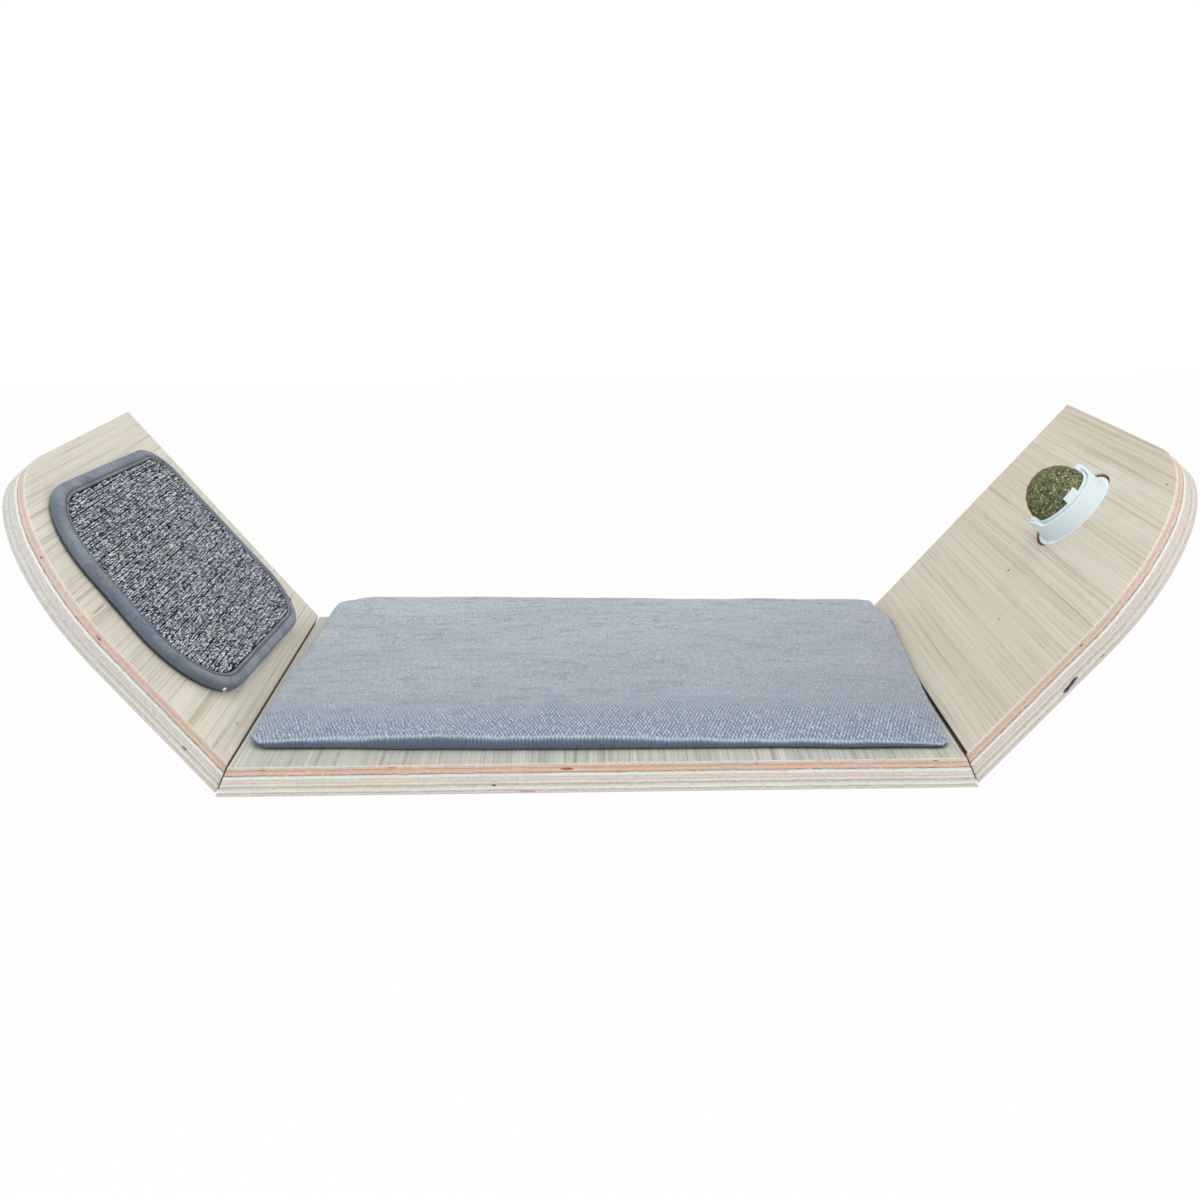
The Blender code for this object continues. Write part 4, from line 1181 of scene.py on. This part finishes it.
def rodAlongX(name, radius, reach, steps, height=0.0):
    working = bmesh.new()
    turn = Matrix.Translation((0, 0, height)) @ Matrix.Rotation(math.pi / 2, 4, "Y")
    bmesh.ops.create_cone(working, cap_ends=True, segments=steps, radius1=radius, radius2=radius,
                          depth=2 * reach, matrix=turn)
    return meshOf(name, working)


def finishPlastic(made, edgeRound, place):
    joinFlats(made.data, 0.000005, 0.4)
    softenEdges(made, edgeRound)
    made.data.transform(place)
    return evenShading(smooth(made, 40))


def makeCup():
    u = catnipUnit
    inner, outer, flange, soft = u["collarInner"], u["collarOuter"], u["flangeRadius"], u["floorRound"]
    low = u["pivotHeight"] - u["rimDrop"]
    earTop, insideFloor = low + u["earRise"], u["cupBottom"] + u["cupFloor"]
    flangeTop, flangeBottom = u["flangeTop"], u["flangeTop"] - u["flangeThickness"]
    profile = [(0, insideFloor)]
    profile += [(inner - soft + soft * sinOf(t), insideFloor + soft - soft * cosOf(t))
                for t in (0, 30, 60, 90)]
    profile += [
        (inner, earTop), (outer, earTop), (outer, low), (outer + 0.0003, 0.0035), (outer + 0.0007, 0.0010),
        (u["collarFoot"], flangeTop + 0.0002), (flange, flangeTop), (flange, flangeBottom),
        (outer, flangeBottom), (outer, u["cupBottom"]), (0, u["cupBottom"]),
    ]
    cup = link("catnipCup", turned("catnipCup", profile, u["turnSteps"]), milkyPlastic)
    high, side = low + 0.02, u["throughReach"]
    earRadius = (u["earWidth"] ** 2 / 4 + u["earRise"] ** 2) / (2 * u["earRise"])
    half = math.asin(u["earWidth"] / 2 / earRadius)
    ear = arc((0, low + u["earRise"] - earRadius), earRadius, math.pi / 2 + half, math.pi / 2 - half, 12)
    cutter = slab("aboveRim", [(-side, low)] + ear + [(side, low), (side, high), (-side, high)], -side, side)
    cutter.transform(Matrix(((0, 0, 1, 0), (1, 0, 0, 0), (0, 1, 0, 0), (0, 0, 0, 1))))
    carve(cup, link("aboveRim", cutter))
    carve(cup, link("pivotHole", rodAlongX("pivotHole", u["spindleHole"], side, 20, u["pivotHeight"])))
    finishPlastic(cup, u["cupEdge"], dispenserPlace)
    settle(cup, "frame", "milky_plastic", "catnip_cup")


def makeCover():
    u = catnipUnit
    profile = []
    for radius, turns in ((u["coverOuter"], range(-90, 1, 6)), (u["coverInner"], range(0, -91, -6))):
        profile += [(radius * cosOf(t) if t > -90 else 0, radius * sinOf(t)) for t in turns]
    made = link("flipCover", turned("flipCover", profile, u["turnSteps"]), milkyPlastic)
    inner, outer = u["coverInner"] + 0.0003, u["coverOuter"] + 0.0003
    half = math.asin(u["tabWidth"] / 2 / outer)
    start, end = -math.pi / 2 - half, -math.pi / 2 + half
    sector = arc((0, 0), outer, start, end, 8) + arc((0, 0), inner, end, start, 8)
    carve(made, link("thumbTab", slab("thumbTab", sector, -0.0012, u["tabRise"])), "UNION")
    for way in (-1, 1):
        near, far = u["coverInner"] - 0.00035, u["coverOuter"] + 0.0005
        boss = rodAlongX("boss", u["bossRadius"], (far - near) / 2, 32)
        boss.transform(Matrix.Translation((way * (near + far) / 2, 0, 0)))
        carve(made, link("boss", boss), "UNION")
    carve(made, link("pivotHole", rodAlongX("pivotHole", u["spindleHole"], u["throughReach"], 20)))
    finishPlastic(made, u["coverEdge"], pivotPlace)
    settle(made, "cover", "milky_plastic", "flip_cover")


def makeSpindle():
    reach, radius, soft = (catnipUnit[key] for key in ("collarOuter", "spindleRadius", "spindleRound"))
    profile = [
        (0, -reach), (radius - soft, -reach), (radius, -reach + soft),
        (radius, reach - soft), (radius - soft, reach), (0, reach),
    ]
    spindle = link("ballSpindle", turned("ballSpindle", profile, 24), milkyPlastic)
    spindle.data.transform(pivotPlace @ Matrix.Rotation(math.pi / 2, 4, "Y"))
    smooth(spindle)
    settle(spindle, "frame", "milky_plastic", "ball_spindle")


catnipBall = {
    "lumps": 0.00030,
    "flakes": {"Density": 620000.0, "Flake Size": (0.00105, 0.00042, 0.00014), "Seed": 11},
    "reach": 0.01700,
    "bossReach": 0.01665,
    "bossRoom": 0.0012,
}


def catnipMaterial():
    material, place = newMaterial("pressedCatnip", 0.93, 0.2)
    bits = grain(place, 620.0, 4.0, 0.8)
    shreds = streaks(place, (1900, 500, 900), 3.0, 0.65)
    patches = grain(place, 160.0, 3.0)
    tone = noted(material, "flakeTone")
    colour = ramp(bits, [
        (0.30, 54, 58, 36), (0.44, 92, 98, 66), (0.54, 122, 129, 92),
        (0.64, 158, 160, 122), (0.74, 196, 190, 156),
    ])
    colour = tints(colour,
        (patches, 0.46, 0.64, 0.55, (84, 84, 52)),
        (shreds, 0.56, 0.72, 0.6, (184, 180, 142)),
    )
    flake = ramp(tone, [
        (0.02, 48, 53, 32), (0.32, 98, 105, 70), (0.62, 144, 150, 112),
        (0.84, 190, 188, 150), (1.0, 236, 230, 206),
    ])
    colour = mixed(remap(tone, 0.0, 0.01), colour, flake)
    return dressed(material, colour, plus(bits, shreds), 0.0005, 0.9)


def flakeTree():
    tree, take = newTree("catnipFlakes", {
        "Density": "Float", "Flake Size": "Vector", "Seed": "Int", "Catnip": "Material",
    })
    inputs = {"Mesh": take["Geometry"], "Density": take["Density"], "Seed": take["Seed"]}
    spots = addNode(tree, "GeometryNodeDistributePointsOnFaces", inputs).outputs
    flake = addNode(tree, "GeometryNodeMeshIcoSphere", {"Radius": 1.0, "Subdivisions": 1}).outputs[0]
    stretch = chance(take["Seed"], (0.5, 0.5, 0.6), (1.35, 1.3, 1.3))
    size = vectorCalc("MULTIPLY", take["Flake Size"], stretch)
    spread = instanced(spots["Points"], flake, spots["Rotation"], size)
    turn = chance(plus(take["Seed"], 1), (-0.5, -0.5, 0.0), (0.5, 0.5, 2 * math.pi))
    spun = put("GeometryNodeRotateInstances", {"Instances": spread, "Rotation": turn})
    toned = noteTone(spun, "flakeTone", plus(take["Seed"], 2), 0.02)
    both = addNode(tree, "GeometryNodeJoinGeometry")
    for part in (take["Geometry"], put("GeometryNodeRealizeInstances", {0: toned})):
        tree.links.new(part, both.inputs[0])
    return closeTree(both.outputs[0], take["Catnip"])


def makeBall():
    working = bmesh.new()
    bmesh.ops.create_icosphere(working, subdivisions=6, radius=catnipUnit["ballRadius"])
    for vertex in working.verts:
        lump = noise.noise(vertex.co * 420) + 0.7 * noise.noise(vertex.co * 1100) - 0.35
        vertex.co += vertex.co.normalized() * catnipBall["lumps"] * lump
    core = link("catnipCore", meshOf("catnipCore", working))
    ball = grow(core, flakeTree(), {**catnipBall["flakes"], "Catnip": catnipMaterial()}, "catnipBall")
    # Pressed flat where the cover and its two bosses turn past
    for vertex in ball.data.vertices:
        place = vertex.co
        if place.length > catnipBall["reach"]:
            place *= catnipBall["reach"] / place.length
        if math.hypot(place.y, place.z) < catnipUnit["bossRadius"] + catnipBall["bossRoom"]:
            place.x = max(-catnipBall["bossReach"], min(catnipBall["bossReach"], place.x))
    ball.data.transform(pivotPlace)
    settle(ball, "ball", "catnip", "catnip_ball")
    print("catnip ball ready,", len(ball.data.polygons), "faces")


makeCup()
makeCover()
makeSpindle()
makeBall()


# Screws and pins: one finished shape each, set on points that carry the way they face

screw = {
    "headRadius": 0.0040, "headHeight": 0.0024, "shank": 0.0017, "length": 0.0125, "pitch": 0.0014,
    "slot": 0.00075, "slotReach": 0.0024, "steps": 24, "rows": 40,
}
pin = {"headRadius": 0.0012, "headHeight": 0.0005, "shank": 0.0006, "length": 0.0136}
tack = {
    "profile": [(0, 0.00075), (0.0006, 0.00068), (0.0010, 0.00042), (0.0012, 0),
                (0.0004, -0.00005), (0.0004, -0.0028), (0, -0.0036)],
    "near": (-0.0215, -0.2020),
    "below": 0.0034,
    "lean": (0.92, 0.39),
}


def steelMaterial(name, bright, dull, roughness, metallic=1.0):
    material, place = newMaterial(name, sockets={"Metallic": metallic})
    stains = ramp(grain(place, 420.0, 3.0, 0.6), [(0.35, *bright), (0.68, *dull)])
    scratches = streaks(place, (2400, 2400, 500))
    rough = remap(scratches, 0.3, 0.7, roughness, roughness + 0.16)
    return dressed(material, stains, scratches, 0.00003, 0.5, rough)


def screwMesh():
    s = screw
    radius, high, steps = s["headRadius"], s["headHeight"], s["steps"]
    head = [(0, high)]
    head += [(radius * sinOf(t) ** 0.9, high * (0.30 + 0.70 * cosOf(t))) for t in (18, 36, 54, 70, 82, 90)]
    head += [(radius, 0.0003), (radius - 0.0003, 0), (s["shank"] * 0.8, 0)]
    working = bmesh.new()
    rings = [ringAbout(working, *point, steps) for point in head]
    for row in range(1, s["rows"] + 1):
        depth = s["length"] * row / s["rows"]
        taper = max(0.06, min(1.0, (s["length"] - depth) / 0.003))
        ring = []
        for k in range(steps):
            phase = (depth / s["pitch"] + k / steps) % 1.0
            ridge = max(0.0, 1 - abs(phase - 0.5) * 4)
            reach = s["shank"] * (0.72 + 0.28 * ridge) * taper
            turn = 2 * math.pi * k / steps
            ring.append(working.verts.new((reach * math.cos(turn), reach * math.sin(turn), -depth)))
        rings.append(ring)
    rings.append(ringAbout(working, 0, -s["length"], steps))
    joinRings(working, rings)
    made = link("screwShape", meshOf("screwShape", working))
    for across, along in ((s["slotReach"], s["slot"] / 2), (s["slot"] / 2, s["slotReach"])):
        carve(made, link("slot", slab("slot", rectangle(across, along), high * 0.35, high * 2)))
    return smooth(made, 32)


def pinMesh():
    p = pin
    profile = [(0, p["headHeight"])]
    profile += [(p["headRadius"] * sinOf(t), p["headHeight"] * cosOf(t)) for t in (20, 40, 60, 80, 90)]
    profile += [(p["shank"], 0), (p["shank"], -p["length"] + 0.001), (0, -p["length"])]
    return smooth(link("pinShape", turned("pinShape", profile, 18)), 40)


def fastenerTree():
    tree, take = newTree("fasteners", {
        "Shape": "Object", "Most Spin": "Float", "Seed": "Int", "Metal": "Material",
    })
    aim = addNode(tree, "GeometryNodeInputNamedAttribute", {"Name": "aim"}, data_type="FLOAT_VECTOR")
    facing = put("FunctionNodeAlignRotationToVector", {"Vector": aim.outputs[0]}, axis="Z")
    shape = put("GeometryNodeObjectInfo", {"Object": take["Shape"], "As Instance": False}, "Geometry")
    spread = instanced(take["Geometry"], shape, facing)
    inputs = {"Seed": take["Seed"], 3: take["Most Spin"]}
    spin = put("FunctionNodeRandomValue", inputs, 1, data_type="FLOAT")
    turn = vectorOf(0, 0, spin)
    spun = put("GeometryNodeRotateInstances", {"Instances": spread, "Rotation": turn})
    return closeTree(spun, take["Metal"], isSmooth=False)


def seatAndAim(node, headHeight):
    # Where a packed fastener's head sits and which way it faces, from its longest direction
    corners = np.array([vertex.co for vertex in cadNodes[node].data.vertices], float)
    corners = np.unique(corners.round(7), axis=0)
    middle = (corners.max(0) + corners.min(0)) / 2
    axis = np.linalg.svd(corners - corners.mean(0))[2][0]
    along = (corners - middle) @ axis
    away = np.linalg.norm((corners - middle) - np.outer(along, axis), axis=1)
    if along[away.argmax()] < 0:
        axis = -axis
    axis = Vector(axis).normalized()
    top = max(axis.dot(Vector(corner)) for corner in corners)
    centre = Vector(corners[away > away.max() * 0.9].mean(0))
    return centre + axis * (top - headHeight - axis.dot(centre)), axis


def setFasteners(name, nodes, shape, sizes, metal, mostSpin):
    spots = bpy.data.meshes.new(name)
    places = [seatAndAim(node, sizes["headHeight"]) for node in nodes]
    spots.from_pydata([place for place, aim in places], [], [])
    aims = spots.attributes.new("aim", "FLOAT_VECTOR", "POINT")
    for index, (place, aim) in enumerate(places):
        aims.data[index].vector = aim
    values = {"Shape": shape, "Most Spin": mostSpin, "Seed": 5, "Metal": metal}
    made = grow(link(name + "Spots", spots), fastenerTree(), values, name)
    settle(smooth(made, 32), "frame", "zinc_steel", *nodes)


zincSteel = steelMaterial("zincSteel", (196, 196, 190), (168, 168, 162), 0.28)
paintedHead = steelMaterial("paintedHead", (104, 110, 118), (88, 94, 104), 0.62, 0.0)
brightNickel = steelMaterial("brightNickel", (252, 252, 252), (240, 240, 240), 0.45)
screwShape = screwMesh()
screwNodes = sorted(name for name in cadNodes if "_screw_" in name)
setFasteners("woodScrews", screwNodes, screwShape, screw, zincSteel, 6.28)
pinShape = pinMesh()
pinNodes = [f"scratch_mat_pin_{k}" for k in (1, 2, 3, 4)]
setFasteners("matPins", pinNodes, pinShape, pin, paintedHead, 0.0)
for shape in (screwShape, pinShape):
    bpy.data.objects.remove(shape, do_unlink=True)


def makeTack():
    # One bright tack through the tape's rim, at the mat's front corner by the mitre
    made = link("rimTack", turned("rimTack", tack["profile"], 20), brightNickel)
    rim = matOutline(0.0, 26)
    near = min(rim, key=lambda spot: math.dist(spot, tack["near"]))
    middle = Vector(rim[0]).lerp(Vector(rim[len(rim) // 2]), 0.5)
    outward = (Vector(near) - middle).normalized()
    flat, steep = tack["lean"]
    aim = Vector((outward.x * flat, outward.y * flat, steep)).to_track_quat("Z", "Y").to_matrix().to_4x4()
    made.data.transform(leftWing @ Matrix.Translation((*near, mat["height"] - tack["below"])) @ aim)
    smooth(made)
    settle(made, "frame", "zinc_steel")


makeTack()
print("screws and pins ready")


# Bent steel under the boards, black powder coat

def powderCoat():
    material, place = newMaterial("blackPowderCoat", specular=0.45)
    specks = grain(place, 1400.0, 3.0, 0.6)
    tone = ramp(grain(place, 45.0, 3.0), [(0.35, 38, 38, 40), (0.65, 50, 50, 52)])
    return dressed(material, tone, specks, 0.00012, 0.6, remap(specks, 0.3, 0.7, 0.42, 0.60))


blackSteel = powderCoat()
for node in sorted(name for name in cadNodes if name.endswith("_plate") or name.endswith("_bracket")):
    words = node.split("_")
    name = words[0] + "".join(word.capitalize() for word in words[1:])
    settle(mergedCopy(node, name, blackSteel, 0.00045), "frame", "black_steel", node)
print("steel ready")


# What stays hidden under the cushion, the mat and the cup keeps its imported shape

def fuzzyMaterial(name, dark, light, scale, depth):
    material, place = newMaterial(name, 0.95, 0.2)
    fuzz = grain(place, scale, 4.0, 0.7)
    rows = streaks(place, (scale * 0.25, scale, scale), 2.0, 0.5)
    tone = mixed(rows, ramp(fuzz, [(0.35, *dark), (0.65, *light)]), dark)
    return dressed(material, tone, plus(fuzz, rows), depth, 0.9)


hiddenLooks = {
    "hook_strip": fuzzyMaterial("hookTape", (26, 27, 30), (64, 66, 70), 1300.0, 0.0004),
    "loop_strip": fuzzyMaterial("loopTape", (40, 42, 46), (84, 87, 92), 900.0, 0.0005),
    "scratch_mat_backing": fuzzyMaterial("feltBacking", (120, 108, 88), (150, 138, 116), 700.0, 0.0004),
    "cup_adhesive_pad": fuzzyMaterial("foamTape", (214, 214, 208), (232, 232, 226), 1100.0, 0.0002),
}
for node, made in cadNodes.items():
    for start, material in hiddenLooks.items():
        if node.startswith(start):
            cover(made.data, material)
print("hidden pieces ready")

bpy.context.view_layer.update()
